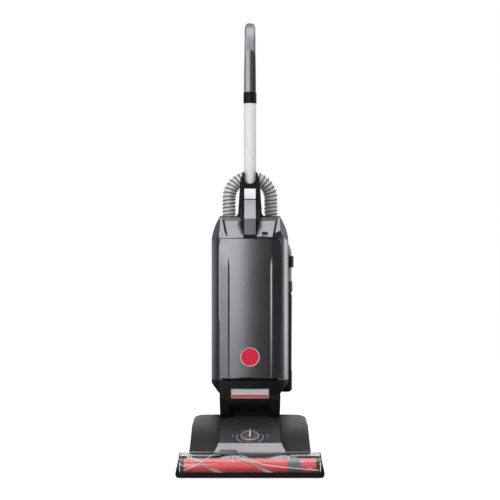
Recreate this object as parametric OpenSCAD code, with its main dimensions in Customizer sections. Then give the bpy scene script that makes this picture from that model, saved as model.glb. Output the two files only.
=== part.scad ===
// Upright bagged vacuum cleaner with an on-board hose and wand.
// X runs across the machine, Y to the back, Z up. The origin is on the floor, below the middle of the foot.

/* [Foot] */
// Width over the bumper
foot_w = 357; // [345:1:371]
// Length from the front of the bumper to the back of the wheels
foot_l = 320; // [316:1:330]
// Free height under the bumper
bumper_z = 4; // [3:0.5:5]
// Height of the front strip of the bumper
bumper_h = 13; // [11:0.5:14]
// Thickness of the floor of the chassis
pan_t = 4; // [3:0.5:5]
// Wall of the moulded covers of the foot
cover_wall = 3; // [2:0.25:3.5]
// Half width of the hood at its back
hood_half_w = 75; // [72:0.5:75]
// Thickness of the bottom plate
plate_t = 1; // [0.6:0.1:1.4]

/* [Brush and belt] */
// Distance of the brush axis behind the front of the bumper
brush_setback = 30; // [29.5:0.25:31]
// Height of the brush axis
brush_z = 28; // [27.5:0.25:29]
// Radius of the brush core
core_r = 17; // [14:0.5:18]
// Radius over the bristle tips
bristle_r = 25; // [23:0.5:25.5]
// Distance between two tufts of one row
tuft_pitch = 13.4; // [12:0.2:18]
// Width of the drive belt
belt_w = 16; // [12:1:20]
// Thickness of the drive belt
belt_t = 2; // [1.5:0.25:2.5]
// Middle of the belt, from the centre plane
belt_x = 106; // [104:0.5:108]

/* [Motor and pivot] */
// Pivot and motor axis behind the centre of the foot
pivot_y = 60; // [58:0.5:62]
// Height of the pivot and motor axis
pivot_z = 75; // [74:0.5:77]
// Radius of the motor cover
barrel_r = 56; // [54:0.5:57]
// Radius of the trunnions that carry the body
trunnion_r = 20; // [16:0.5:24]
// Thickness of a fork leg
leg_t = 25; // [22:0.5:25]
// Radius of the pulley on the motor shaft
motor_pulley_r = 6; // [5:0.25:8]

/* [Wheels] */
// Radius of a rear wheel
wheel_r = 40; // [37:0.5:41]
// Width of a rear wheel
wheel_w = 22; // [18:0.5:24]
// Radius of a front roller
roller_r = 12; // [11:0.25:13]
// Width of a front roller
roller_w = 16; // [12:0.5:20]

/* [Body] */
// Width of the body
body_w = 191; // [187:1:197]
// Y of the front face of the body at its middle
body_front = -52; // [-56:0.5:-50]
// Y of the back face of the body
body_back = 85; // [80:0.5:86]
// Height of the lower edge of the bag door
door_bottom = 228.5; // [224:0.5:240]
// Height of the upper edge of the bag door
door_top = 572; // [550:1:582]
// Height of the top cover above the door
cover_h = 51.5; // [48:0.5:58]
// Width of the bag door
door_w = 153; // [149:1:156]
// Wall of the body shell
wall = 3; // [2.5:0.25:3.5]

/* [Handle] */
// Diameter of the handle tube
tube_d = 31; // [28:0.5:32]
// Wall of the handle tube
tube_wall = 1.5; // [1:0.1:2.5]
// Length of the handle tube that stands above the top cover
tube_rise = 313; // [260:1:360]
// Width of the grip loop at its foot
grip_w = 30.5; // [27:0.5:32]
// Radius of the bend at the top of the grip loop
grip_bend = 40; // [36:0.5:41]
// Height of the grip loop above the tube collar
grip_h = 179; // [165:1:195]
// Width of the carry handle
strap_w = 28; // [24:0.5:32]

/* [Hose and wand] */
// Outer diameter of the hose over its ribs
hose_d = 36; // [33:0.5:37]
// Bore of the hose
hose_bore = 28; // [24:0.5:29]
// Radius of the hose arch behind the handle
arch_r = 53.5; // [50:0.5:56]
// Distance between two ribs of the hose
rib_pitch = 9.3; // [8:0.1:12]
// Diameter of the wand at its upper end
wand_d = 33; // [31:0.5:34]
// Length of the wand between its cup and its cuff
wand_l = 208; // [190:1:215]

/* [Hidden] */

fine = 64;
fit = 0.05;   // radial play of a running or sliding fit
seat = 0.3;   // gap between pieces that lie against each other

// foot
front_y = -foot_l / 2;
half_w = foot_w / 2;
bumper_r = 17;
plate_z = 9;
pan_z = plate_z + plate_t;
pan_top = pan_z + pan_t;
brush_y = front_y + brush_setback;
window_r = brush_setback - 2;
window_wall = 2.5;
window_top = brush_z + window_r;
window_back = front_y + 62;
nozzle_half = half_w - 8;
mouth_half = nozzle_half - 18;
hood_front = window_back + 0.5;
hood_low = window_top - 4;
hood_crease_y = hood_front + 21;
hood_crease_z = window_top + 18;
hood_back_y = pivot_y - 46;
hood_back_z = pivot_z + 31;
hood_flare = 15;
hood_slope = atan2(hood_back_z - hood_crease_z, hood_back_y - hood_crease_y);
knob_y = hood_crease_y + 30;
knob_z = hood_crease_z + 30 * tan(hood_slope);
knob_r = 23;

// fork and trunnions, by their distance from the centre plane
barrel_half = 49;
leg_in = barrel_half + 0.8;
leg_out = leg_in + leg_t;
side_in = leg_out + 1.8;
side_out = half_w - 32.5;
bearing_in = side_in + cover_wall + 0.5;
bearing_t = 6;
lug_r = barrel_r - cover_wall - 4;
cap_r = 26;

// wheels and rollers
axle_r = 4;
wheel_x = side_out - 26;
wheel_y = foot_l / 2 - wheel_r;
roller_x = 48;
roller_y = window_back + 24;
roller_axle_r = 2.5;
carriage_y = roller_y + 42;
carriage_z = pan_top + 7;
pin_r = 3;

// body
body_half = body_w / 2;
door_half = door_w / 2;
door_wall = 4.5;
panel_half = door_half - 24.5;
panel_sag = 4;
facet_y = body_front + panel_sag;
door_edge_y = body_front + 14;
shoulder_y = body_front + 42;
cover_rim = door_top + 1.5;
cover_top = cover_rim + cover_h;
cover_top_half = body_half - 19.5;
housing_top = door_bottom - 5.5;
shell_bottom = housing_top;
neck_half = leg_out;
neck_top_z = housing_top - 9;
neck_z = housing_top - 33;
hinge_y = body_front + 9.6;
hinge_z = door_bottom + 4.5;
hinge_r = 1.5;

// handle
tube_r = tube_d / 2;
tube_y = 16;
socket_y = -8;
socket_back = tube_y + tube_r + 12.5;
socket_low_half = 29.6;
socket_top_half = 25.2;
socket_h = 113;
socket_top = cover_top + socket_h;
ear_half = 18.5;
tube_low = cover_top + 20;
tube_high = cover_top + tube_rise;
collar_h = 27.5;
collar_low = tube_high - collar_h;
grip_top = tube_high + grip_h;
grip_t = 22;
bend_y = tube_y + grip_bend;
bend_z = grip_top - grip_bend - grip_t / 2;
grip_end_angle = -38;
strap_t = 9;
strap_front = body_front + 1;
strap_low = cover_rim + 9;
strap_bend_z = cover_top - 3;
strap_high = cover_top + 46;
strap_root = 20;
switch_h = 25.5;

// hose and wand
hose_r = hose_d / 2;
hose_y = body_back + hose_r + 3;
arch_z = cover_top + 49;
wand_x = 91.5;
wand_r = wand_d / 2;
cup_low = 178;
cup_h = 54;
wand_low = cup_low + cup_h - 20;
wand_high = cup_low + cup_h + wand_l;
cuff_h = 32;
cuff_low = wand_high - 5;
elbow_z = cover_rim - 58;
spout_r = 17;
collar_y = body_back - 20;   // card plate of the bag
filter_rise = 2;
clip_z = 497;
clip_h = 29;

// ---------- helpers ----------

// A profile drawn as (Y, Z), from x0 to x1
module along_x(x0, x1) {
  translate([x0, 0, 0])
    rotate([90, 0, 90])
      linear_extrude(x1 - x0)
        children();
}

// A profile drawn as (X, Z), from y0 to y1
module along_y(y0, y1) {
  translate([0, y1, 0])
    rotate([90, 0, 0])
      linear_extrude(y1 - y0)
        children();
}

module along_z(z0, z1) {
  translate([0, 0, z0])
    linear_extrude(z1 - z0)
      children();
}

// A round bar along X
module rod_x(x0, x1, y, z, r) {
  translate([x0, y, z])
    rotate([0, 90, 0])
      cylinder(h = x1 - x0, r = r, $fn = fine);
}

// A round bar along Y
module rod_y(y0, y1, x, z, r) {
  translate([x, y1, z])
    rotate([90, 0, 0])
      cylinder(h = y1 - y0, r = r, $fn = fine);
}

module rod_z(z0, z1, x, y, r) {
  translate([x, y, z0])
    cylinder(h = z1 - z0, r = r, $fn = fine);
}

module box(x0, x1, y0, y1, z0, z1) {
  translate([x0, y0, z0])
    cube([x1 - x0, y1 - y0, z1 - z0]);
}

module both_sides() {
  children();
  mirror([1, 0, 0])
    children();
}

// A rectangle from (x0, y0) to (x1, y1) with corners of radius r
module rounded(x0, x1, y0, y1, r) {
  translate([x0 + r, y0])
    square([x1 - x0 - 2 * r, y1 - y0]);
  translate([x0, y0 + r])
    square([x1 - x0, y1 - y0 - 2 * r]);
  for (x = [x0 + r, x1 - r])
    for (y = [y0 + r, y1 - r])
      translate([x, y])
        circle(r, $fn = fine);
}

// Points of a circular arc about c, both ends included
function arc(c, r, from, to, steps) =
  [for (i = [0:steps]) c + r * [cos(from + (to - from) * i / steps), sin(from + (to - from) * i / steps)]];

// Points between p and q, bowed out to the right of the way from p to q by h at the middle
function bow(p, q, h, steps) =
  let (d = q - p, n = [d[1], -d[0]] / norm(d))
  [for (i = [1:steps - 1]) let (t = i / steps) p + t * d + 4 * h * t * (1 - t) * n];

function mirrored(points) =
  concat(points, [for (i = [len(points) - 1:-1:0]) [-points[i][0], points[i][1]]]);

// ---------- foot ----------

// Side profile of the window, from the bumper over the brush to the hood
module window_profile(inset) {
  difference() {
    union() {
      translate([brush_y, brush_z])
        circle(window_r - inset, $fn = fine);
      translate([brush_y - window_r + inset, pan_top])
        square([window_r, brush_z - pan_top]);
      translate([brush_y, pan_top])
        square([window_back - brush_y, window_top - inset - pan_top]);
    }
    translate([brush_y - 2 * window_r, pan_top - 2 * window_r])
      square([4 * window_r, 2 * window_r]);
  }
}

// Plan of the pan, which carries every cover of the foot
function pan_half_plan() = concat(
  [[0, front_y + 3]],
  arc([half_w - bumper_r - 0.2, front_y + bumper_r], bumper_r - 3, -90, 0, 6),
  [[half_w - 3.2, front_y + 92]],
  bow([half_w - 3.2, front_y + 92], [side_out + 1, -10], 3, 4),
  [[side_out + 1, -10], [side_out, foot_l / 2 - 26]],
  arc([side_out - 14, foot_l / 2 - 26], 14, 0, 90, 4),
  [[0, foot_l / 2 - 12]]
);

module foot_chassis() {
  color([0.10, 0.10, 0.11])
    difference() {
      union() {
        // floor
        along_z(pan_z, pan_top)
          polygon(mirrored(pan_half_plan()));
        // wall behind the brush, up to the edge of the hood
        box(-nozzle_half + 3, nozzle_half - 3, window_back - 4, window_back - 0.3, pan_top - 1, hood_low - 1);
        // end walls of the brush chamber
        both_sides()
          along_x(nozzle_half - 6.5, nozzle_half - 3)
            window_profile(window_wall + 4);
        // bearings of the rear wheels
        both_sides()
          for (x = [wheel_x - wheel_w / 2 - 6, wheel_x + wheel_w / 2 + 2])
            along_x(x, x + 4) {
              translate([wheel_y - 12, pan_top - 1])
                square([24, wheel_r - pan_top + 1]);
              translate([wheel_y, wheel_r])
                circle(12, $fn = fine);
            }
        // bearings of the trunnions
        both_sides()
          along_x(bearing_in, bearing_in + bearing_t) {
            translate([pivot_y - 24, pan_top - 1])
              square([48, pivot_z - pan_top + 1]);
            translate([pivot_y, pivot_z])
              circle(24, $fn = fine);
          }
        // cradle of the motor cover
        both_sides()
          for (x = [14, 38])
            box(x, x + 4, pivot_y - 42, pivot_y + 42, pan_top - 1, pan_top + 22);
        // ears of the height carriage
        both_sides()
          along_x(roller_x + roller_w / 2 + 9, roller_x + roller_w / 2 + 13) {
            translate([carriage_y - 7, pan_top - 1])
              square([14, carriage_z - pan_top + 1]);
            translate([carriage_y, carriage_z])
              circle(7, $fn = fine);
          }
        // ears of the release pedal
        for (x = [-106, -86])
          along_x(x, x + 3.5) {
            translate([pedal_y - 7, pan_top - 1])
              square([14, pedal_z - pan_top + 1]);
            translate([pedal_y, pedal_z])
              circle(7, $fn = fine);
          }
      }
      // suction mouth
      box(-mouth_half, mouth_half, brush_y - 21, brush_y + 24, 0, pan_top + 1);
      // room for the brush
      rod_x(-nozzle_half + 6.5, nozzle_half - 6.5, brush_y, brush_z, window_r - window_wall - seat);
      both_sides()
        rod_x(nozzle_half - 7, nozzle_half, brush_y, brush_z, 9 + fit);
      // passage of the belt
      belt_passage();
      // wheel openings
      both_sides()
        box(wheel_x - wheel_w / 2 - 1.5, wheel_x + wheel_w / 2 + 1.5, wheel_y - wheel_r - 2, foot_l,
          0, pan_top + 1);
      // axle bores
      both_sides()
        rod_x(wheel_x - wheel_w, wheel_x + wheel_w, wheel_y, wheel_r, axle_r + fit);
      both_sides()
        rod_x(bearing_in - 1, bearing_in + bearing_t + 1, pivot_y, pivot_z, 14 + fit);
      // bed of the motor cover
      rod_x(-barrel_half, barrel_half, pivot_y, pivot_z, barrel_r + seat);
      // opening over the front rollers
      box(-carriage_half - 2, carriage_half + 2, roller_y - roller_r - 3, carriage_y + 8, 0, pan_top + 1);
      both_sides()
        rod_x(0, carriage_half + 20, carriage_y, carriage_z, pin_r + fit);
      rod_x(-107.5, -81, pedal_y, pedal_z, pin_r + fit);
      // seats of the screws
      for (p = screw_places())
        rod_z(0, pan_top + 1, p[0], p[1], 2 + fit);
    }
}

// Way of the belt through the walls between brush and motor
module belt_passage() {
  along_x(belt_x - belt_w / 2 - 2, belt_x + belt_w / 2 + 2)
    belt_loop(seat + belt_t + 1.5);
}

carriage_half = roller_x + roller_w / 2 + 8;
pedal_y = 104;
pedal_z = 30;

function screw_places() =
  [for (x = [-1, 1]) for (y = [window_back + 8, 118]) [x * (y < 0 ? half_w - 42.5 : 92), y]];

// Round the front and sides, with ends that sweep up behind the window
module bumper() {
  strip_t = brush_setback - window_r - seat;
  color([0.07, 0.08, 0.09])
    intersection() {
      difference() {
        along_z(bumper_z, window_top)
          rounded(-half_w, half_w, front_y, front_y + 130, bumper_r);
        along_z(bumper_z - 1, plate_z + plate_t)
          rounded(-half_w + 14, half_w - 14, front_y + 9, front_y + 150, bumper_r - 9);
        along_z(plate_z + plate_t, pan_top + seat)
          rounded(-half_w + 3, half_w - 3, front_y + strip_t, front_y + 150, bumper_r - 3);
        along_z(pan_top, window_top + 1)
          rounded(-half_w + 7.7, half_w - 7.7, front_y + strip_t, front_y + 150, bumper_r - 7.7);
      }
      along_y(front_y - 1, front_y + 140)
        polygon(mirrored(concat(
          [[0, bumper_z]],
          arc([half_w - 6, bumper_z + 6], 6, -90, 0, 6),
          [[half_w, bumper_z + 10], [half_w - 5.5, window_top - 15]],
          [[half_w - 5.5, window_top + 1], [0, window_top + 1]]
        )));
      along_x(-foot_w, foot_w)
        polygon(concat(
          [[front_y - 1, bumper_z], [front_y - 1, bumper_z + bumper_h - 1.5]],
          [[front_y + 1.5, bumper_z + bumper_h], [front_y + 20, bumper_z + bumper_h]],
          bow([front_y + 20, bumper_z + bumper_h], [front_y + 52, window_top - 15], 3, 4),
          [[front_y + 52, window_top - 15], [front_y + 66, window_top - 18]],
          [[front_y + 84, bumper_z + bumper_h], [front_y + 90, bumper_z]]
        ));
    }
}

// Sheet steel with cross bars over the suction mouth
module bottom_plate() {
  bar_w = 3.6;
  step = 3;
  color([0.70, 0.71, 0.73])
    difference() {
      along_z(plate_z, plate_z + plate_t)
        rounded(-half_w + 14 + seat, half_w - 14 - seat, front_y + 9 + seat, window_back + 12, bumper_r - 9);
      // mouth, crossed by bars that lie between the tufts
      difference() {
        box(-mouth_half, mouth_half, brush_y - 20, brush_y + 20, 0, pan_z + 1);
        for (i = [1:step:tuft_count - 1])
          translate([tuft_start + (i - 0.5) * tuft_pitch, 0, 0])
            box(-bar_w / 2, bar_w / 2, brush_y - 21, brush_y + 21, 0, pan_z + 1);
      }
      both_sides()
        translate([0, 0, -1])
          rod_z(0, pan_z + 2, half_w - 42.5, window_back + 8, 2 + fit);
    }
}

// Clear cover over the brush
module nozzle_window() {
  color([0.85, 0.90, 0.92, 0.4])
    difference() {
      intersection() {
        along_x(-nozzle_half, nozzle_half)
          window_profile(0);
        along_z(pan_top, window_top + 1)
          rounded(-nozzle_half, nozzle_half, brush_y - window_r, window_back + 30, 9);
      }
      intersection() {
        along_x(-nozzle_half + window_wall, nozzle_half - window_wall)
          window_profile(window_wall);
        along_z(pan_top - 1, window_top + 1)
          rounded(-nozzle_half + window_wall, nozzle_half - window_wall,
            brush_y - window_r + window_wall, window_back + 30, 9 - window_wall);
      }
      // open towards the wall behind the brush
      box(-nozzle_half + window_wall, nozzle_half - window_wall, window_back - 6, window_back + 1,
        pan_top - 1, hood_low - 1 + seat);
    }
}

// Side profile of the hood and its plan, both shrunk by the wall for the inside
module hood_form(inset) {
  k = inset;
  intersection() {
    along_x(-hood_half_w - hood_flare - 1, hood_half_w + hood_flare + 1)
      polygon([
        [hood_front + k, pan_top - (k > 0 ? 1 : 0)], [hood_front + k, hood_low - k / 2],
        [hood_front + 2 + k, hood_low + 4 - k],
        [hood_crease_y + k * 0.5, hood_crease_z - k], [hood_back_y - 3 * sign(k), hood_back_z - k],
        [hood_back_y + 14, hood_back_z + 6 - k], [hood_back_y + 14, pan_top - (k > 0 ? 1 : 0)]
      ]);
    along_z(0, hood_back_z + 20)
      polygon(mirrored(concat(
        [[0, hood_front - 1], [hood_half_w + hood_flare - k, hood_front - 1]],
        bow([hood_half_w + hood_flare - k, hood_front - 1], [hood_half_w - k, hood_crease_y + 16], -4, 6),
        [[hood_half_w - k, hood_crease_y + 16], [hood_half_w - k, hood_back_y + 8]],
        [[48, hood_back_y + 8], [42, hood_back_y], [0, hood_back_y]]
      )));
  }
}

module hood() {
  color([0.33, 0.32, 0.35])
    difference() {
      hood_form(0);
      difference() {
        hood_form(cover_wall);
        // posts for the screws
        for (x = [-60, 60])
          rod_z(0, 200, x, carriage_y + 20, 5);
      }
      // hand notch in the front edge
      translate([0, hood_front - 1, 0])
        along_z(0, hood_crease_z + 2)
          polygon([[-hood_half_w - 2, 0], [-hood_half_w + 4, 8], [-34, 8], [-26, 0]]);
      // the motor cover lies behind
      rod_x(-hood_half_w - 1, hood_half_w + 1, pivot_y, pivot_z, barrel_r + seat);
      // ring in which the knob turns
      knob_frame()
        translate([0, 0, -12])
          cylinder(h = 20, r = 8 + fit, $fn = fine);
      knob_frame()
        translate([0, 0, -1])
          cylinder(h = 20, r = knob_r + seat, $fn = fine);
    }
}

module knob_frame() {
  translate([0, knob_y, knob_z])
    rotate([hood_slope, 0, 0])
      children();
}

// Barrel over the motor, with a wider skirt in front of the fork legs
module motor_cover() {
  skirt = leg_out - 0.3;
  color([0.17, 0.17, 0.18])
    difference() {
      union() {
        rod_x(-barrel_half, barrel_half, pivot_y, pivot_z, barrel_r);
        intersection() {
          rod_x(-skirt, skirt, pivot_y, pivot_z, barrel_r);
          along_x(-skirt, skirt)
            polygon([
              [pivot_y, pivot_z + 8], [pivot_y - 90, pivot_z + 8],
              [pivot_y - 90, pivot_z + 48], [pivot_y - 20, pivot_z + 48]
            ]);
        }
      }
      rod_x(-barrel_half + cover_wall, barrel_half - cover_wall, pivot_y, pivot_z, barrel_r - cover_wall);
      rod_x(-foot_w, foot_w, pivot_y, pivot_z, trunnion_r + fit);
      both_sides()
        rod_x(barrel_half, leg_out + 1, pivot_y, pivot_z, barrel_r - cover_wall);
    }
}

// Fender of one side, on +X; its front sinks in a hollow curve from the motor down to the window
module side_form(k) {
  low = [window_back + 1, window_top + 1];
  high = [pivot_y - 35, pivot_z + 55];
  chord = norm(high - low);
  sag = 13;
  r = (chord * chord / 4 + sag * sag) / (2 * sag);
  n = [low[1] - high[1], high[0] - low[0]] / chord;
  c = (low + high) / 2 + n * (r - sag);
  intersection() {
    along_x(side_in + k, side_out + 3)
      difference() {
        polygon([
          [low[0] + k, pan_top - (k > 0 ? 1 : 0)], [low[0] + k, low[1] - k * 0.4],
          [high[0] + k * 0.3, high[1] - k],
          [pivot_y + 38, high[1] - 11 - k], [foot_l / 2 - 30, high[1] - 22 - k],
          [foot_l / 2 - 10 - k, high[1] - 40], [foot_l / 2 - 5 - k, pan_top - (k > 0 ? 1 : 0)]
        ]);
        translate(c)
          circle(r + k, $fn = 128);
      }
    along_y(front_y, foot_l / 2)
      polygon(concat(
        [[side_in + k, pan_top - 2], [side_in + k, high[1] - k]],
        bow([side_in, high[1] - k], [side_out - 4, high[1] - 19 - k], -4, 6),
        [[side_out - 5 - k, high[1] - 19 - k], [side_out - 1 - k, high[1] - 26]],
        [[side_out + 2 - k, window_top - 6], [side_out + 2 - k, pan_top - 2]]
      ));
    along_z(0, 200)
      polygon([
        [hood_half_w + hood_flare + 1 + k, window_back],
        [hood_half_w + 7 + k, window_back + 14], [side_in + k, hood_crease_y + 18],
        [side_in + k, foot_l / 2], [side_out + 3 - k, foot_l / 2], [side_out + 3 - k, window_back]
      ]);
  }
}

module side_cover() {
  color([0.24, 0.24, 0.26])
    difference() {
      side_form(0);
      side_form(cover_wall);
      // wheel arch
      rod_x(wheel_x - wheel_w / 2 - 8, side_out + 5, wheel_y, wheel_r, wheel_r + 3);
      box(wheel_x - wheel_w / 2 - 8, side_out + 5, wheel_y - wheel_r - 3, foot_l, 0, wheel_r);
      // the trunnion comes through the inner wall
      rod_x(side_in - 1, side_in + cover_wall + 1, pivot_y, pivot_z, trunnion_r + 1);
      // the back is open behind the pedal
      box(0, wheel_x, foot_l / 2 - 40, foot_l / 2, 0, 58);
    }
}

module left_side_cover() {
  mirror([1, 0, 0])
    side_cover();
}

module right_side_cover() {
  difference() {
    side_cover();
    belt_passage();
  }
}

// Bearings that close both ends of the brush chamber
module brush_end_caps() {
  color([0.12, 0.12, 0.13])
    both_sides()
      difference() {
        union() {
          rod_x(nozzle_half - 6.5, nozzle_half - 3, brush_y, brush_z, 9);
          rod_x(nozzle_half - 12, nozzle_half - 6.5, brush_y, brush_z, 14);
        }
        rod_x(nozzle_half - 14, nozzle_half - 5, brush_y, brush_z, 4 + fit);
      }
}

brush_pulley_r = core_r - belt_t - 1;

// Two half turns and two straight strands, as one loop
module drive_belt() {
  color([0.09, 0.09, 0.10])
    along_x(belt_x - belt_w / 2, belt_x + belt_w / 2)
      difference() {
        belt_loop(seat + belt_t);
        belt_loop(seat);
      }
}

// Outline that runs round both pulleys at a distance k
module belt_loop(k) {
  d = [pivot_y - brush_y, pivot_z - brush_z];
  reach = norm(d);
  lean = asin((brush_pulley_r - motor_pulley_r) / reach);
  translate([brush_y, brush_z])
    rotate(atan2(d[1], d[0]))
      polygon(concat(
        arc([0, 0], brush_pulley_r + k, 90 - lean, 270 + lean, 36),
        arc([reach, 0], motor_pulley_r + k, lean - 90, 90 - lean, 24)
      ));
}

// Field of the motor, pressed into the barrel
module motor_stator() {
  color([0.55, 0.35, 0.20])
    difference() {
      rod_x(-20, barrel_half - cover_wall - 1, pivot_y, pivot_z, barrel_r - cover_wall - 0.2);
      rod_x(-21, 30, pivot_y, pivot_z, 24);
      rod_x(-21, barrel_half, pivot_y, pivot_z, 9);
      rod_x(-21, barrel_half, pivot_y, pivot_z, trunnion_r * 0.2 + 1.2);
      for (i = [0:7])
        translate([0, pivot_y, pivot_z])
          rotate([45 * i, 0, 0])
            rod_x(-21, 30, 0, 38, 6);
    }
}

// Sleeve on which a fork leg turns, with its cap outside
module trunnion() {
  color([0.30, 0.30, 0.32])
    difference() {
      union() {
        rod_x(barrel_half - cover_wall - 0.5, bearing_in - 0.2, pivot_y, pivot_z, trunnion_r);
        rod_x(bearing_in - 0.5, bearing_in + bearing_t + 1, pivot_y, pivot_z, 14);
        rod_x(bearing_in + bearing_t, bearing_in + bearing_t + 3, pivot_y, pivot_z, 18);
      }
      rod_x(barrel_half - cover_wall - 1, bearing_in + bearing_t + 4, pivot_y, pivot_z, 8);
    }
}

module left_trunnion() {
  mirror([1, 0, 0])
    trunnion();
}

module right_trunnion() {
  trunnion();
}

module wheel_axles() {
  color([0.75, 0.76, 0.78])
    both_sides()
      rod_x(wheel_x - wheel_w / 2 - 6, wheel_x + wheel_w / 2 + 7, wheel_y, wheel_r, axle_r);
}

module carriage_pin() {
  color([0.75, 0.76, 0.78])
    both_sides()
      rod_x(carriage_half - 10, carriage_half + 5.5, carriage_y, carriage_z, pin_r);
}

module pedal_pin() {
  color([0.75, 0.76, 0.78])
    rod_x(-107, -82, pedal_y, pedal_z, pin_r);
}

// Four screws that hold the side covers from below
module foot_screws() {
  color([0.75, 0.76, 0.78])
    for (p = screw_places())
      rod_z(pan_z - plate_t, pan_top + 4, p[0], p[1], 2);
}

// ---------- brush ----------

tuft_start = -mouth_half + 4.5;
tuft_count = floor(-2 * tuft_start / tuft_pitch) + 1;
tuft_turn = 20;

module tufts(r, from) {
  for (side = [0, 180])
    for (i = [0:tuft_count - 1])
      if (abs(tuft_start + i * tuft_pitch - belt_x) > belt_w / 2 + 4.5)
        translate([tuft_start + i * tuft_pitch, brush_y, brush_z])
          rotate([tuft_turn * (i + 0.8) + side, 0, 0])
            translate([0, 0, from])
              cylinder(h = bristle_r - from, r = r, $fn = fine);
}

// Beaten roll with a groove for the belt near its right end
module brush_core() {
  color([0.80, 0.12, 0.13])
    difference() {
      union() {
        rod_x(-nozzle_half + 12.3, nozzle_half - 12.3, brush_y, brush_z, core_r);
        rod_x(-nozzle_half + 6, nozzle_half - 6, brush_y, brush_z, 4);
      }
      difference() {
        rod_x(belt_x - belt_w / 2 - 0.6, belt_x + belt_w / 2 + 0.6, brush_y, brush_z, core_r + 1);
        rod_x(belt_x - belt_w, belt_x + belt_w, brush_y, brush_z, brush_pulley_r);
      }
      tufts(2.5 + fit, core_r - 5 - fit);
    }
}

module brush_bristles() {
  color([0.92, 0.92, 0.92])
    tufts(2.5, core_r - 5);
}

// ---------- motor ----------

module motor_rotor() {
  color([0.62, 0.50, 0.35]) {
    rod_x(-barrel_half + cover_wall + 2, belt_x + belt_w / 2 + 3, pivot_y, pivot_z, 4);
    rod_x(-16, 26, pivot_y, pivot_z, 22);
    rod_x(belt_x - belt_w / 2 - 1, belt_x + belt_w / 2 + 1, pivot_y, pivot_z, motor_pulley_r);
    for (x = [belt_x - belt_w / 2 - 2, belt_x + belt_w / 2 + 1])
      rod_x(x, x + 1, pivot_y, pivot_z, motor_pulley_r + belt_t);
  }
}

// Suction fan on the left end of the shaft
module fan() {
  blades = 9;
  color([0.80, 0.80, 0.78])
    difference() {
      union() {
        rod_x(-40, -37, pivot_y, pivot_z, 44);
        rod_x(-40, -26, pivot_y, pivot_z, 9);
        for (i = [0:blades - 1])
          translate([-38, pivot_y, pivot_z])
            rotate([360 / blades * i, 0, 0])
              translate([0, 3, 8])
                rotate([-20, 0, 0])
                  cube([11, 1.5, 32]);
      }
      rod_x(-50, -20, pivot_y, pivot_z, 4 + 0.02);
    }
}

// ---------- wheels ----------

module wheel_hub() {
  color([0.13, 0.13, 0.14])
    difference() {
      rod_x(wheel_x - wheel_w / 2, wheel_x + wheel_w / 2, wheel_y, wheel_r, wheel_r - 5);
      rod_x(wheel_x - wheel_w, wheel_x + wheel_w, wheel_y, wheel_r, axle_r + fit);
      // dished faces with spokes
      for (i = [0:4])
        translate([0, wheel_y, wheel_r])
          rotate([72 * i, 0, 0])
            rod_x(wheel_x - wheel_w, wheel_x + wheel_w, 0, wheel_r * 0.5, wheel_r * 0.16);
    }
}

module wheel_tyre() {
  color([0.22, 0.22, 0.23])
    difference() {
      rod_x(wheel_x - wheel_w / 2, wheel_x + wheel_w / 2, wheel_y, wheel_r, wheel_r);
      rod_x(wheel_x - wheel_w, wheel_x + wheel_w, wheel_y, wheel_r, wheel_r - 5);
    }
}

module right_wheel() {
  wheel_hub();
}

module right_tyre() {
  wheel_tyre();
}

module left_wheel() {
  mirror([1, 0, 0])
    wheel_hub();
}

module left_tyre() {
  mirror([1, 0, 0])
    wheel_tyre();
}

// Frame that carries the front rollers and tilts about its pins
module height_carriage() {
  arm = 4;
  color([0.14, 0.14, 0.15])
    difference() {
      union() {
        box(-carriage_half, carriage_half, carriage_y - 12, carriage_y + 4, carriage_z - 4, carriage_z + 4);
        both_sides()
          for (x = [roller_x - roller_w / 2 - 1 - arm, roller_x + roller_w / 2 + 1])
            along_x(x, x + arm) {
              translate([roller_y, roller_r])
                circle(6, $fn = fine);
              polygon([
                [roller_y, roller_r - 6], [carriage_y, carriage_z - 4],
                [carriage_y, carriage_z + 4], [roller_y - 2, roller_r + 5.5]
              ]);
            }
      }
      both_sides()
        rod_x(carriage_half - 11, carriage_half + 1, carriage_y, carriage_z, pin_r + fit);
      both_sides()
        rod_x(roller_x - roller_w, roller_x + roller_w, roller_y, roller_r, roller_axle_r + fit);
    }
}

module roller() {
  color([0.20, 0.20, 0.21])
    difference() {
      rod_x(roller_x - roller_w / 2, roller_x + roller_w / 2, roller_y, roller_r, roller_r);
      rod_x(roller_x - roller_w, roller_x + roller_w, roller_y, roller_r, roller_axle_r + fit);
    }
}

module right_roller() {
  roller();
}

module left_roller() {
  mirror([1, 0, 0])
    roller();
}

module roller_axles() {
  color([0.75, 0.76, 0.78])
    both_sides()
      rod_x(roller_x - roller_w / 2 - 5, roller_x + roller_w / 2 + 5, roller_y, roller_r, roller_axle_r);
}

// Knob on the hood that sets the height of the rollers
module height_knob() {
  color([0.20, 0.20, 0.21])
    knob_frame() {
      difference() {
        translate([0, 0, -1 + seat])
          cylinder(h = 4.5, r = knob_r, $fn = fine);
        difference() {
          translate([0, 0, 2])
            cylinder(h = 4, r = knob_r - 2.5, $fn = fine);
          translate([-3, -knob_r, 0])
            cube([6, 2 * knob_r, 10]);
        }
      }
      intersection() {
        cylinder(h = 11, r = knob_r - 1, $fn = fine);
        along_x(-3, 3)
          polygon([[-knob_r, 1], [-8, 6], [knob_r - 7, 11], [knob_r - 1, 9], [knob_r, 1]]);
      }
      translate([0, 0, -10])
        cylinder(h = 11, r = 8, $fn = fine);
    }
}

// Foot lever at the back left
module release_pedal() {
  color([0.15, 0.15, 0.16])
    difference() {
      along_x(-102, -86.5)
        polygon(concat(
          arc([pedal_y, pedal_z], 7, 75, 315, 30),
          [[pedal_y + 16, pedal_z + 8], [pedal_y + 51, pedal_z + 7]],
          [[pedal_y + 51, pedal_z + 11], [pedal_y + 14, pedal_z + 13]]
        ));
      rod_x(-104, -80, pedal_y, pedal_z, pin_r + fit);
    }
}

// ---------- body ----------

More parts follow.
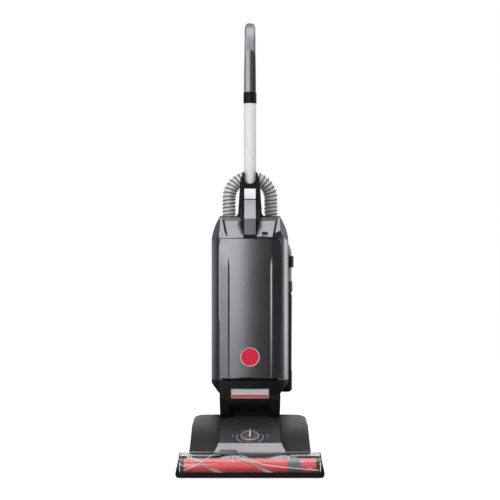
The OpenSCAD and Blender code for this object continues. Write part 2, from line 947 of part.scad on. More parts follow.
// Plan of the body, shrunk by k: a wide arc in front, a flat facet on either side of it, and round shoulders
module body_plan(k) {
  front_r = (panel_half * panel_half + panel_sag * panel_sag) / (2 * panel_sag);
  facet_rise = (door_edge_y - facet_y) / (door_half - panel_half) * panel_half;
  intersection() {
    translate([0, body_front + front_r])
      circle(front_r - k, $fn = 256);
    polygon(mirrored(concat(
      [[0, facet_y - facet_rise + k], [door_half - k * 0.3, door_edge_y + k]],
      bow([door_half - k * 0.3, door_edge_y + k], [body_half - k, shoulder_y], 2.5, 7),
      [[body_half - k, shoulder_y]],
      arc([body_half - 25, body_back - 25], 25 - k, 0, 90, 9),
      [[0, body_back - k]]
    )));
  }
}

// Front view of the body: neck, straight sides and round shoulders
function body_front_view(k) = mirrored(concat(
  [[0, 100], [neck_half - k, 100], [neck_half - k, neck_z]],
  bow([neck_half - k, neck_z], [body_half - k, neck_top_z], 0, 3),
  [[body_half - k, neck_top_z], [body_half - k, cover_rim - 24]],
  bow([body_half - k, cover_rim - 24], [cover_top_half - k, cover_top], 6.5, 8),
  [[cover_top_half - k, cover_top - k], [0, cover_top - k]]
));

module body_form(k, z0, z1) {
  difference() {
    intersection() {
      along_z(z0, z1)
        body_plan(k);
      along_y(body_front - 5, body_back + 5)
        polygon(body_front_view(k));
    }
    both_sides()
      shoulder_facet(k);
  }
}

// What lies outside the flat facet beside the sloping top
module shoulder_facet(k) {
  reach = 120;
  translate([cover_top_half - 2, body_front + 2, cover_rim + 6.5])
    rotate([0, 70.6, -23.5])
      translate([-reach, -reach, -k])
        cube([2 * reach, 2 * reach, reach]);
}

// Side profile of the neck under the body, with the fork lugs
module neck_profile() {
  polygon([
    [pivot_y + lug_r - 8, pivot_z], [pivot_y + 40, neck_z], [body_back - 2, neck_top_z],
    [body_back, housing_top + 30],
    [body_front, housing_top + 30], [body_front, label_low - 3], [body_front + 3, label_low - 7],
    [pivot_y - 46, pivot_z + 52], [pivot_y - 30, pivot_z + 47], [pivot_y - 14, pivot_z]
  ]);
  translate([pivot_y, pivot_z])
    circle(lug_r, $fn = fine);
}

// Black lower part: label panel, recess over the motor, and two legs that turn on the trunnions
module lower_housing() {
  color([0.10, 0.10, 0.11])
    difference() {
      intersection() {
        union() {
          body_form(0, neck_z - 4, housing_top);
          along_z(pivot_z - lug_r - 1, neck_z)
            translate([-leg_out, body_front])
              square([2 * leg_out, 300]);
        }
        along_x(-body_half, body_half)
          neck_profile();
      }
      // fork opening round the motor cover, with a recess in front
      rod_x(-leg_in, leg_in, pivot_y, pivot_z, barrel_r + 1);
      box(-leg_in, leg_in, body_front - 1, 300, 0, pivot_z + 30);
      along_x(-leg_in, leg_in)
        polygon([
          [body_front - 1, pivot_z], [body_front - 1, pivot_z + 90], [body_front + 26, pivot_z + 90],
          [pivot_y - 30, pivot_z + barrel_r + 4], [pivot_y - 20, pivot_z + 30], [pivot_y - 20, pivot_z]
        ]);
      // clear of the skirt of the motor cover in front of the legs
      difference() {
        rod_x(-foot_w, foot_w, pivot_y, pivot_z, barrel_r + 0.5);
        rod_x(-foot_w, foot_w, pivot_y, pivot_z, lug_r);
        along_x(-foot_w, foot_w)
          polygon([
            [pivot_y, pivot_z], [pivot_y - 26, pivot_z + 80],
            [pivot_y + 80, pivot_z + 80], [pivot_y + 80, pivot_z - 20]
          ]);
      }
      // bores of the fork
      rod_x(-foot_w, foot_w, pivot_y, pivot_z, trunnion_r + fit);
      // seat of the label
      box(-label_half - seat, label_half + seat, body_front - 1, body_front + 3,
        label_low - seat, label_low + label_h + seat);
      // seat of the filter under the bag
      box(-62, 62, -24, 62, housing_top - 12, housing_top + 1);
      // room for the door knuckles
      both_sides()
        box(18, 50, body_front + 5, hinge_y + 6, hinge_z - 14, housing_top + 1);
    }
  // ears for the door pins
  color([0.10, 0.10, 0.11])
    both_sides()
      difference() {
        along_x(31, 37) {
          translate([hinge_y, hinge_z])
            circle(2.6, $fn = fine);
          polygon([
            [hinge_y, hinge_z + 2.6], [hinge_y + 12, hinge_z + 2.6], [hinge_y + 12, housing_top - 1],
            [hinge_y + 7, housing_top - 1], [hinge_y + 7, hinge_z - 2.2], [hinge_y, hinge_z - 2.2]
          ]);
        }
        rod_x(30, 38, hinge_y, hinge_z, hinge_r + fit);
      }
}

label_half = 46.5;
label_h = 23;
label_low = 180;

module label_plate() {
  color([0.75, 0.75, 0.77])
    box(-label_half, label_half, body_front + 1.5, body_front + 3, label_low, label_low + label_h);
}

// Back and sides of the bag chamber
module body_shell() {
  color([0.45, 0.44, 0.47])
    difference() {
      body_form(0, shell_bottom, cover_rim);
      difference() {
        body_form(wall, shell_bottom - 1, cover_rim + 1);
        // flange behind the edge of the door
        both_sides()
          box(door_half - 8, body_half, door_edge_y + door_wall + 1, door_edge_y + door_wall + 4, 0, 700);
      }
      // opening of the door
      box(-door_half - 0.4, door_half + 0.4, body_front - 10, door_edge_y + door_wall + 1, 0, cover_rim + 1);
      box(-door_half + 8, door_half - 8, body_front - 10, door_edge_y + door_wall + 6, 0, cover_rim + 1);
      // bag inlet
      rod_y(body_back - 10, body_back + 5, -arch_r, elbow_z, spout_r + fit);
      rod_y(body_back - 10, body_back + 5, 0, hook_z, 6 + fit);
      for (p = body_screw_places())
        rod_y(body_back - 10, body_back + 1, p[0], p[1], 3 + fit);
    }
}

hook_z = 330;

function body_screw_places() = [for (x = [-62, 62]) for (z = [door_bottom + 20, door_bottom + 220]) [x, z]];

// Sloping top with a hand recess on either side of the carry handle
module top_cover() {
  slope_top_y = socket_y - 1;
  color([0.42, 0.41, 0.44])
    difference() {
      intersection() {
        body_form(0, cover_rim + 0.2, cover_top);
        along_x(-body_half, body_half)
          polygon([
            [body_front - 1, cover_rim], [body_front - 1, cover_rim + 3],
            [slope_top_y, cover_top], [body_back + 1, cover_top], [body_back + 1, cover_rim]
          ]);
      }
      // hollow inside
      intersection() {
        body_form(wall, cover_rim - 1, cover_top - 3 * wall);
        along_x(-body_half, body_half)
          polygon([
            [slope_top_y + 5, cover_rim - 1], [slope_top_y + 5, cover_top - wall],
            [body_back + 1, cover_top - wall], [body_back + 1, cover_rim - 1]
          ]);
      }
      // hand recess
      recess();
      // gap round the foot of the carry handle
      box(-strap_w / 2 - 1, strap_w / 2 + 1, body_front - 1, strap_front + strap_t + seat,
        strap_low - 1, cover_top + 1);
      // seat of the indicator
      indicator_place()
        translate([-indicator_w / 2 - fit, -20, -indicator_h / 2 - fit])
          cube([indicator_w + 2 * fit, 26 + fit, indicator_h + 2 * fit]);
      // seat of the latch
      box(-latch_half - seat, latch_half + seat, body_front - 1, body_front + 14,
        cover_rim - 1, cover_rim + 8 + seat);
    }
}

recess_depth = 6;
slope_angle = atan2(cover_h - 3, socket_y - body_front);

// Shallow tray in the slope, with slanted side walls that draw together below
module recess() {
  intersection() {
    translate([0, body_front - 1, cover_rim + 3])
      rotate([slope_angle, 0, 0])
        intersection() {
          box(-body_half, body_half, 3.6, 100, -recess_depth, 3);
          recess_side();
          mirror([1, 0, 0])
            recess_side();
        }
    box(-body_half, body_half, body_front - 10, socket_y - 1, cover_rim, cover_top + 1);
  }
}

module recess_side() {
  reach = 200;
  low_half = 60;
  translate([low_half, 0, 0])
    rotate([0, 0, -9])
      rotate([0, 45, 0])
        translate([-reach, -reach / 2, -reach / 2])
          cube([reach, reach, reach]);
}

indicator_w = 14.5;
indicator_h = 10;

module indicator_place() {
  translate([36.5, body_front + 17.4, cover_rim + 9.2])
    rotate([slope_angle - 90, 0, 0])
      children();
}

// Small dark window that shows when the bag is full
module bag_indicator() {
  color([0.03, 0.03, 0.03])
    indicator_place()
      translate([-indicator_w / 2, -4, -indicator_h / 2])
        cube([indicator_w, 10, indicator_h]);
}

// Grip from the socket over the recess down to the rim
module carry_handle() {
  color([0.52, 0.51, 0.54])
    difference() {
      along_x(-strap_w / 2, strap_w / 2)
        polygon(concat(
          [[strap_front + 3, strap_low - 1], [strap_front, strap_low]],
          [[strap_front, strap_bend_z]],
          bow([strap_front, strap_bend_z], [socket_y - 5, strap_high - 3], -1, 4),
          [[socket_y - 5, strap_high - 3], [socket_y - seat, strap_high - 1]],
          [[socket_y - seat, strap_high - strap_root]],
          bow([socket_y - seat, strap_high - strap_root], [strap_front + strap_t, strap_bend_z - 4], 1, 4),
          [[strap_front + strap_t, strap_bend_z - 4], [strap_front + strap_t, strap_low - 1]]
        ));
    }
}

// Black column that holds the tube, with a plate over the top cover
module handle_socket() {
  plate_h = 3;
  notch_z = cover_top + 84;
  color([0.10, 0.10, 0.11])
    difference() {
      union() {
        intersection() {
          along_y(socket_y, socket_back)
            polygon(mirrored(concat(
              [[0, cover_top], [socket_low_half + 7, cover_top]],
              bow([socket_low_half + 7, cover_top + plate_h], [socket_low_half, cover_top + 12], -2, 4),
              [[socket_low_half, cover_top + 12], [socket_top_half, cover_top + 78]],
              bow([socket_top_half, cover_top + 78], [ear_half, socket_top - 3], 1.5, 3),
              [[ear_half - 2, socket_top], [0, socket_top]]
            )));
          along_z(cover_top, socket_top)
            rounded(-60, 60, socket_y, socket_back, 8);
        }
        handle_backing();
        along_z(cover_top, cover_top + plate_h)
          polygon(mirrored([
            [0, socket_y], [cover_top_half - 2, socket_y], [cover_top_half, socket_y + 3],
            [cover_top_half, body_back - 22], [cover_top_half - 16, body_back - 4], [0, body_back - 4]
          ]));
      }
      // bore of the tube
      rod_z(tube_low, socket_top + 1, 0, tube_y, tube_r + fit);
      // U cut between the ears
      along_y(socket_y - 1, tube_y) {
        translate([0, notch_z + tube_r])
          circle(tube_r, $fn = fine);
        translate([-tube_r, notch_z + tube_r])
          square([2 * tube_r, socket_h]);
      }
      // window of the switch
      box(-strap_w / 2 - 0.2, strap_w / 2 + 0.2, socket_y - 1, socket_y + 7,
        strap_high - 0.2, strap_high + switch_h + 0.2);
      rod_y(tube_y, socket_back + 1, 0, bolt_z, 3 + fit);
      rod_y(socket_back - 8, socket_back + 1, 0, bolt_z, 6 + fit);
      rod_y(tube_y + tube_r + 3, socket_back + 1, 0, gland_z, 5 + fit);
    }
}

// Black web behind the carry handle, wider than it at the top
module handle_backing() {
  back = strap_front + strap_t + seat;
  web = 5;
  root = strap_high - strap_root;
  intersection() {
    along_x(-socket_low_half, socket_low_half)
      polygon(concat(
        [[back, strap_low]],
        [[back, strap_bend_z - 4]],
        bow([back, strap_bend_z - 4], [socket_y, root - seat], -1, 4),
        [[socket_y, root - seat], [socket_y + 1, root], [socket_y + 1, root - web]],
        bow([socket_y + 1, root - web], [back + web, strap_bend_z - 6], 1, 4),
        [[back + web, strap_bend_z - 6], [back + web, strap_low + 4.5]]
      ));
    along_y(body_front, socket_y + 1)
      polygon(mirrored([
        [0, strap_low], [strap_w / 2 + 3, strap_low], [strap_w / 2 + 10, cover_top],
        [socket_low_half - 0.5, cover_top + 8], [socket_low_half - 0.5, strap_high], [0, strap_high]
      ]));
  }
}

bolt_z = cover_top + 66;
gland_z = cover_top + 22;

module handle_tube() {
  color([0.88, 0.88, 0.90])
    difference() {
      rod_z(tube_low, tube_high, 0, tube_y, tube_r);
      rod_z(tube_low - 1, tube_high + 1, 0, tube_y, tube_r - tube_wall);
      rod_y(tube_y, tube_y + tube_r + 1, 0, bolt_z, 3 + fit);
    }
}

module tube_collar() {
  color([0.09, 0.09, 0.10])
    difference() {
      rod_z(collar_low, tube_high, 0, tube_y, tube_r + 0.9);
      rod_z(collar_low - 1, tube_high + 1, 0, tube_y, tube_r + fit);
    }
}

module tube_bolt() {
  color([0.70, 0.71, 0.73]) {
    rod_y(tube_y + 8, socket_back - 7.5, 0, bolt_z, 3);
    rod_y(socket_back - 8 + 0.2, socket_back - 3, 0, bolt_z, 6);
  }
}

// Section of the grip, wider than deep, with round edges
module grip_section() {
  rounded(-grip_w / 2, grip_w / 2, -grip_t / 2, grip_t / 2, 8);
}

// Front view of the grip: narrower towards its round top
module grip_front_view() {
  crown = 19;
  half = grip_w / 2;
  polygon(mirrored(concat(
    [[0, tube_high - 41], [half + 1, tube_high - 41], [half + 1, tube_high], [half, tube_high + 1]],
    [for (i = [0:9]) [(half - 1.9) * cos(10 * i), grip_top - crown * (1 - sin(10 * i))]]
  )));
}

// Closed loop that leans back from the tube
module grip_loop() {
  c = [bend_y, bend_z];
  rear = c + grip_bend * [cos(grip_end_angle), sin(grip_end_angle)];
  way = [sin(grip_end_angle), -cos(grip_end_angle)];
  rear_l = (rear[0] - tube_y - 6) / -way[0];
  color([0.66, 0.65, 0.68])
    intersection() {
      along_y(-tube_r, 5 * grip_bend)
        grip_front_view();
      union() {
        // front member
        along_z(tube_high + 0.2, bend_z)
          translate([0, tube_y])
            grip_section();
        // spigot in the tube
        rod_z(tube_high - 40, tube_high + 1, 0, tube_y, tube_r - tube_wall - fit);
        // bend over the top
        translate([0, bend_y, bend_z])
          rotate([90, 0, 90])
            rotate_extrude(angle = 180 - grip_end_angle, start = grip_end_angle, $fn = fine)
              translate([grip_bend, 0])
                rotate(90)
                  grip_section();
        // rear member
        translate([0, rear[0], rear[1]])
          rotate([180 + grip_end_angle, 0, 0])
            linear_extrude(rear_l)
              grip_section();
      }
    }
}

// Soft strip on the front member, with a high round top
module grip_insert() {
  y1 = tube_y - grip_t / 2 - 0.2;
  top = bend_z - 22;
  arch = 25;
  color([0.36, 0.35, 0.38])
    intersection() {
      along_y(y1 - 5, y1)
        polygon(mirrored(concat(
          [[0, tube_high + 1.3], [grip_w / 2, tube_high + 1.3]],
          [for (i = [0:9]) [(grip_w / 2 - 1.6) * cos(10 * i), top - arch * (1 - sin(10 * i))]]
        )));
      along_z(tube_high, top + 1) {
        translate([0, y1 + 17])
          circle(22, $fn = fine);
      }
    }
}

// ---------- hose and wand ----------

// Turns an angle into a point of the arch behind the handle
function arch_point(a) = [arch_r * cos(a), hose_y, arch_z + arch_r * sin(a)];

s_low = clip_z + clip_h + 12;
s_high = arch_z - 10;

// Easing from 0 to 1 with level ends
function ease(t) = t * t * (3 - 2 * t);

// Centre line from the wand cuff up the right side, over the arch and down to the elbow
route_low = cuff_low + cuff_h - 6;
route_end = elbow_z + spout_r + 22;
right_l = s_low - route_low;
s_l = norm([wand_x - arch_r, s_high - s_low]) + 3;
arch_l = 3.14159 * arch_r;
left_l = arch_z - route_end;
up_l = arch_z - s_high;
hose_l = right_l + s_l + up_l + arch_l + left_l;

function route(s) =
  s < right_l ? [wand_x, hose_y, route_low + s] :
  s < right_l + s_l ? let (t = (s - right_l) / s_l)
    [wand_x + (arch_r - wand_x) * ease(t), hose_y, s_low + (s_high - s_low) * t] :
  s < right_l + s_l + up_l ? [arch_r, hose_y, s_high + s - right_l - s_l] :
  s < hose_l - left_l ? arch_point((s - right_l - s_l - up_l) / arch_r * 57.29578) :
  [-arch_r, hose_y, arch_z - (s - hose_l + left_l)];

ribs = floor(hose_l / rib_pitch);
hose_sides = 8;

function route_way(s) =
  let (a = route(max(0, s - 1)), b = route(min(hose_l, s + 1)), d = b - a)
  d / norm(d);

// One ring of points square to the route
function ring(s, r) =
  let (c = route(s), w = route_way(s), u = [w[2], 0, -w[0]])
  [for (i = [0:hose_sides - 1])
    let (a = 360 * (i + 0.5) / hose_sides)
    c + r * cos(a) * u + [0, r * sin(a), 0]];

// Ribbed wall round a smooth bore
module hose() {
  stations = [for (i = [0:2 * ribs]) i * hose_l / (2 * ribs)];
  n = len(stations);
  outer = [for (i = [0:n - 1]) each ring(stations[i], i % 2 == 0 ? hose_r - 2.6 : hose_r)];
  bore_steps = [for (i = [0:2:n - 1]) stations[i]];
  m = len(bore_steps);
  inner = [for (s = bore_steps) each ring(s, hose_bore / 2)];
  k = hose_sides;
  o = n * k;
  faces = concat(
    [for (i = [0:n - 2]) for (j = [0:k - 1]) each
      [[i * k + j, i * k + (j + 1) % k, (i + 1) * k + (j + 1) % k],
      [i * k + j, (i + 1) * k + (j + 1) % k, (i + 1) * k + j]]],
    [for (i = [0:m - 2]) for (j = [0:k - 1]) each
      [[o + i * k + j, o + (i + 1) * k + (j + 1) % k, o + i * k + (j + 1) % k],
      [o + i * k + j, o + (i + 1) * k + j, o + (i + 1) * k + (j + 1) % k]]],
    [for (j = [0:k - 1]) each
      [[j, o + j, o + (j + 1) % k], [j, o + (j + 1) % k, (j + 1) % k]]],
    [for (j = [0:k - 1]) each
      let (a = (n - 1) * k, b = o + (m - 1) * k)
      [[a + j, b + (j + 1) % k, b + j], [a + j, a + (j + 1) % k, b + (j + 1) % k]]]
  );
  color([0.72, 0.72, 0.75])
    polyhedron(concat(outer, inner), faces);
}

// Rubber ends of the hose, at the wand and at the elbow
module hose_cuffs() {
  color([0.08, 0.08, 0.09]) {
    difference() {
      union() {
        rod_z(cuff_low, cuff_low + cuff_h - 6 - seat, wand_x, hose_y, wand_r + 1);
        rod_z(cuff_low, cuff_low + 8, wand_x, hose_y, wand_r + 1.6);
      }
      rod_z(cuff_low - 1, cuff_low + cuff_h, wand_x, hose_y, hose_bore / 2);
      rod_z(cuff_low - 1, wand_high + fit, wand_x, hose_y, wand_r - 1.4 + fit);
    }
    difference() {
      rod_z(route_end - 14, route_end - seat, -arch_r, hose_y, hose_r + 0.5);
      rod_z(route_end - 15, route_end, -arch_r, hose_y, hose_bore / 2);
    }
  }
}

// Quarter bend that leads from the hose into the bag chamber
module hose_elbow() {
  top = route_end - 14;
  color([0.10, 0.10, 0.11])
    difference() {
      union() {
        rod_z(elbow_z, top - seat, -arch_r, hose_y, spout_r + 1);
        rod_y(collar_y, hose_y, -arch_r, elbow_z, spout_r);
        translate([-arch_r, hose_y, elbow_z])
          sphere(spout_r + 1, $fn = fine);
        rod_y(body_back + 0.2, body_back + 3.2, -arch_r, elbow_z, spout_r + 7);
      }
      rod_z(elbow_z, top + 1, -arch_r, hose_y, spout_r - 3);
      rod_y(collar_y - 1, hose_y, -arch_r, elbow_z, spout_r - 3);
      translate([-arch_r, hose_y, elbow_z])
        sphere(spout_r - 3, $fn = fine);
    }
}

// Spring clip on the back of the body that holds the hose
module hose_clip() {
  color([0.09, 0.09, 0.10])
    along_z(clip_z, clip_z + clip_h)
      difference() {
        union() {
          translate([wand_x, hose_y])
            circle(hose_r + 2.6, $fn = fine);
          translate([58, body_back + 0.2])
            square([wand_x - 58, 4]);
        }
        translate([wand_x, hose_y])
          circle(hose_r + seat, $fn = fine);
        translate([wand_x - 12, hose_y + 6])
          square([24, 30]);
        translate([0, body_back - 30])
          square([200, 30.2]);
      }
}

// Rigid suction pipe, slimmer at its lower end
module wand() {
  color([0.11, 0.11, 0.12])
    difference() {
      union() {
        rod_z(wand_low, wand_low + 21, wand_x, hose_y, wand_r - 2);
        translate([wand_x, hose_y, wand_low + 20])
          cylinder(h = wand_high - wand_low - 34, r1 = wand_r - 1, r2 = wand_r, $fn = fine);
        rod_z(wand_high - 15, wand_high, wand_x, hose_y, wand_r - 1.4);
      }
      rod_z(wand_low - 1, wand_high + 1, wand_x, hose_y, wand_r - 3.8);
    }
}

// Socket at the back right in which the wand stands
module wand_cup() {
  color([0.09, 0.09, 0.10])
    difference() {
      union() {
        rod_z(cup_low + 5, cup_low + cup_h, wand_x, hose_y, wand_r);
        translate([wand_x, hose_y, cup_low])
          cylinder(h = 5, r1 = wand_r - 5, r2 = wand_r, $fn = fine);
        box(wand_x - wand_r - 4, wand_x, body_back + 0.2, hose_y + 8, cup_low + 22, cup_low + cup_h - 4);
      }
      rod_z(wand_low - 4, cup_low + cup_h + 1, wand_x, hose_y, wand_r - 2 + fit);
    }
}

// ---------- inside the bag chamber ----------

bag_half = 58;
bag_low = housing_top + filter_rise + seat;
bag_high = cover_rim - 8;
bag_back = collar_y - seat;

// Full paper bag: crowned faces, drawn in towards its folded ends
module dust_bag() {
  y0 = door_edge_y + 16;
  y1 = bag_back + 0.9;
  color([0.86, 0.82, 0.72])
    intersection() {
      along_x(-bag_half, bag_half)
        polygon(concat(
          [[y0 + 14, bag_low]],
          [[y1 - 14, bag_low]],
          bow([y1 - 14, bag_low], [y1 - 2, bag_low + 40], 4, 3),
          bow([y1 - 2, bag_low + 40], [y1 - 2, bag_high - 40], 2, 4),
          bow([y1 - 2, bag_high - 40], [y1 - 14, bag_high], 4, 3),
          [[y0 + 14, bag_high]],
          bow([y0 + 14, bag_high], [y0 + 2, bag_high - 40], 4, 3),
          bow([y0 + 2, bag_high - 40], [y0 + 2, bag_low + 40], 2, 4),
          bow([y0 + 2, bag_low + 40], [y0 + 14, bag_low], 4, 3)
        ));
      along_y(y0 - 10, y1 + 10)
        rounded(-bag_half, bag_half, bag_low, bag_high, 18);
      along_z(bag_low - 1, bag_high + 1)
        rounded(-bag_half, bag_half, y0 - 6, y1 + 6, 24);
    }
}

// Card plate of the bag, pushed on the spout
module bag_collar() {
  color([0.62, 0.50, 0.36])
    difference() {
      along_y(collar_y, collar_y + 3)
        rounded(-arch_r - 30, -arch_r + 44, elbow_z - 28, elbow_z + 24, 6);
      rod_y(body_back - 30, body_back, -arch_r, elbow_z, spout_r + fit);
    }
}

// Foam pad between the bag chamber and the motor
module motor_filter() {
  color([0.25, 0.27, 0.30])
    box(-61.7, 61.7, -23.7, 61.7, housing_top - 11.8, housing_top + filter_rise);
}

module door_pins() {
  color([0.75, 0.76, 0.78])
    both_sides()
      rod_x(24, 44, hinge_y, hinge_z, hinge_r);
}

module lower_cord_hook() {
  color([0.10, 0.10, 0.11]) {
    rod_y(body_back - wall - 1, body_back + 22, 0, hook_z, 6);
    along_y(body_back + 18, body_back + 22)
      rounded(-9, 9, hook_z - 34, hook_z + 8, 6);
  }
}

// Rubber grommet where the mains lead enters
module cord_gland() {
  color([0.06, 0.06, 0.07])
    difference() {
      union() {
        rod_y(tube_y + tube_r + 5.5, socket_back + 2, 0, gland_z, 5);
        rod_y(socket_back + 0.2, socket_back + 2.5, 0, gland_z, 8);
      }
      rod_y(tube_y, socket_back + 3, 0, gland_z, 3.2);
    }
}

module body_screws() {
  color([0.70, 0.71, 0.73])
    for (p = body_screw_places())
      rod_y(body_back - wall - 8, body_back - 0.5, p[0], p[1], 3);
}

// ---------- door, latch and switch ----------

module bag_door() {
  panel_low = 2;
  fade = 95;
  badge_gap = badge_r + seat;
  color([0.50, 0.49, 0.52])
    difference() {
      union() {
        intersection() {
          difference() {
            along_z(door_bottom, door_top)
              body_plan(0);
            along_z(door_bottom - 1, door_top + 1)
              body_plan(door_wall);
          }
          along_y(body_front - 5, door_edge_y + door_wall + 0.5)
            polygon(mirrored(concat(
              [[0, door_bottom], [door_half - 6, door_bottom]],
              [[door_half - 6, door_bottom + 112], [door_half, door_bottom + 148]],
              [[door_half, door_top - 22]],
              bow([door_half, door_top - 22], [door_half - 6, door_top], 1, 4),
              [[door_half - 6, door_top], [0, door_top]]
            )));
        }
        // knuckles
        both_sides()
          for (x = [25, 38])
            along_x(x, x + 5) {
              translate([hinge_y, hinge_z])
                circle(3, $fn = fine);
              translate([body_front + door_wall - 0.5, hinge_z - 3])
                square([hinge_y - body_front - door_wall + 0.5, 6]);
            }
      }
      // sunk middle panel that fades out towards the top
      difference() {
        box(-panel_half + 1, panel_half - 1, body_front - 3, body_front + 12, door_bottom - 1, door_top - 40);
        along_z(door_bottom - 2, door_top)
          body_plan(panel_low);
        translate([0, body_front, door_top - 36])
          rotate([-atan(panel_low / fade), 0, 0])
            translate([0, -body_front, -2 * fade])
              along_z(-fade, 3 * fade)
                body_plan(0);
      }
      rod_x(-60, 60, hinge_y, hinge_z, hinge_r + fit);
      // round lower edge
      difference() {
        box(-door_half, door_half, body_front - 5, body_front + 4, door_bottom - 1, door_bottom + 4);
        rod_x(-door_half, door_half, body_front + 4, door_bottom + 4, 4);
      }
      // seat of the badge
      rod_y(body_front - 5, body_front + 3, 0, badge_z, badge_gap);
      // hook plate of the latch
      box(-latch_half, latch_half, body_front + 2.6, body_front + 12, door_top - 8, door_top + 1);
    }
}

badge_r = 23.5;
badge_z = door_bottom + 53;

module round_badge() {
  color([0.78, 0.10, 0.14])
    rod_y(body_front + 1.2, body_front + 3 - 0.1, 0, badge_z, badge_r);
}

latch_half = 16.5;

// Press catch at the middle of the rim
module door_latch() {
  color([0.08, 0.08, 0.09])
    box(-latch_half, latch_half, body_front - 1.5, body_front + 9, cover_rim + 0.5, cover_rim + 8);
}

module power_switch() {
  color([0.86, 0.86, 0.88])
    along_x(-strap_w / 2, strap_w / 2)
      polygon(concat(
        [[socket_y + 4, strap_high], [socket_y - 2, strap_high]],
        bow([socket_y - 2, strap_high], [socket_y - 1, strap_high + switch_h], -2, 4),
        [[socket_y - 1, strap_high + switch_h], [socket_y + 4, strap_high + switch_h]]
      ));
}

foot_chassis();
bumper();
bottom_plate();
nozzle_window();
hood();
motor_cover();
left_side_cover();
right_side_cover();
brush_end_caps();
drive_belt();
motor_stator();
left_trunnion();
right_trunnion();
wheel_axles();
carriage_pin();
pedal_pin();
foot_screws();
brush_core();
brush_bristles();
motor_rotor();
fan();
left_wheel();
left_tyre();
right_wheel();
right_tyre();
height_carriage();
left_roller();
right_roller();
roller_axles();
height_knob();
release_pedal();
lower_housing();
label_plate();
body_shell();
top_cover();
bag_indicator();
carry_handle();
handle_socket();
handle_tube();
tube_collar();
grip_loop();
grip_insert();
tube_bolt();
hose();
hose_cuffs();
hose_elbow();
hose_clip();
wand();
wand_cup();
dust_bag();
bag_collar();
motor_filter();
door_pins();
lower_cord_hook();
cord_gland();
body_screws();
bag_door();
round_badge();
door_latch();
power_switch();
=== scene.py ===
# An upright bagged vacuum cleaner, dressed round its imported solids. Every length is in metres.
import math

import bpy
import numpy as np
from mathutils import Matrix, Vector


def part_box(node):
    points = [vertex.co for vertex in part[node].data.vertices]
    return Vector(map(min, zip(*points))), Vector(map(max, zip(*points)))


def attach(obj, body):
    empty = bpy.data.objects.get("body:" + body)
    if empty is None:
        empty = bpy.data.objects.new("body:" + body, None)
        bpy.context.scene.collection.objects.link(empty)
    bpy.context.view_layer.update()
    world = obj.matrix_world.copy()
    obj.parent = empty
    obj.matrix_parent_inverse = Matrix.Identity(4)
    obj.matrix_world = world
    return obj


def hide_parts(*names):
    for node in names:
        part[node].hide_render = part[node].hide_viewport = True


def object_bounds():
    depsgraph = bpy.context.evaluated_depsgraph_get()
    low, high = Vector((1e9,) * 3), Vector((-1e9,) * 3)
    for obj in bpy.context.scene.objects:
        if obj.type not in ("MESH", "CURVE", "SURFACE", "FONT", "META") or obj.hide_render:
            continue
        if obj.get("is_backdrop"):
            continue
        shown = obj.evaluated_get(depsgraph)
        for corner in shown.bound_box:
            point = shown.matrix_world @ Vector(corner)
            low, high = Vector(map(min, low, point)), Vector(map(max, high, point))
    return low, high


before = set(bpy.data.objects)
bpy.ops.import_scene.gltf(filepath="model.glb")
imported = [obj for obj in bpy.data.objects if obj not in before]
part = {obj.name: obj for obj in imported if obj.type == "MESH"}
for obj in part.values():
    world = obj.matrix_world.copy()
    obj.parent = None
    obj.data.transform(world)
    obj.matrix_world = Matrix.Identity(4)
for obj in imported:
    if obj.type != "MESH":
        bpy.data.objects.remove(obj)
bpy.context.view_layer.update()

# ---------- studio ----------
# A long lens held level at half the machine's height looks at it on a white sweep that keeps a faint shadow.
# A wide soft lamp stands at the front left, a narrow one behind the right side, and one hangs overhead.

scene = bpy.context.scene
scene.view_settings.view_transform = "Standard"


def placed(name, data):
    """An object that stands in the scene, at the origin."""
    o = bpy.data.objects.new(name, data)
    scene.collection.objects.link(o)
    return o


camera = placed("camera", bpy.data.cameras.new("camera"))
camera.location = (0.0, -3.4, 0.606)
camera.rotation_euler = (math.radians(90), 0, 0)
camera.data.lens = 98.1
camera.data.shift_y = -0.05
camera.data.sensor_width = 36
camera.data.clip_end = 200
scene.camera = camera


def soft_lamp(name, place, aim, width, height, power):
    """A white rectangular lamp at place that shines towards aim."""
    data = bpy.data.lights.new(name, "AREA")
    data.shape = "RECTANGLE"
    data.size, data.size_y = width, height
    data.energy = power
    lamp = placed(name, data)
    lamp.location = place
    way = np.array(aim, float) - np.array(place, float)
    lamp.rotation_mode = "QUATERNION"
    lamp.rotation_quaternion = Vector(way).to_track_quat("-Z", "Y")


soft_lamp("key_lamp", place=(-1.55, -2.53, 1.02), aim=(0, 0, 0.62), width=3.1, height=2.0, power=52)
soft_lamp("side_lamp", place=(1.58, 0.64, 0.62), aim=(0, 0, 0.42), width=0.7, height=1.5, power=8.2)
soft_lamp("top_lamp", place=(0.15, -0.75, 2.3), aim=(0, 0, 0.6), width=1.6, height=1.8, power=23)


def put(tree, target, source):
    """Feeds a socket with the output of another node, or with a constant."""
    if hasattr(source, "is_output"):
        tree.links.new(source, target)
    else:
        target.default_value = source


def joined(tree, kind, *sources, **settings):
    """A new node with its first inputs fed by sources; returns its first output, or the node if it has none."""
    n = tree.nodes.new(kind)
    for key, value in settings.items():
        setattr(n, key, value)
    for target, source in zip(n.inputs, sources):
        put(tree, target, source)
    return n.outputs[0] if n.outputs else n


def sums(tree, operation, *sources):
    """A sum of that kind on its sources."""
    return joined(tree, "ShaderNodeMath", *sources, operation=operation)


def spread(tree, value, low, high, to_low=0.0, to_high=1.0):
    """value taken from the range low..high to the range to_low..to_high, clamped."""
    return joined(tree, "ShaderNodeMapRange", value, low, high, to_low, to_high, clamp=True)


def split(tree, kind="ShaderNodeTexCoord", output="Object"):
    """X, Y and Z of a vector output of a new node; as it stands, of the place in object space."""
    return joined(tree, "ShaderNodeSeparateXYZ", tree.nodes.new(kind).outputs[output]).node.outputs


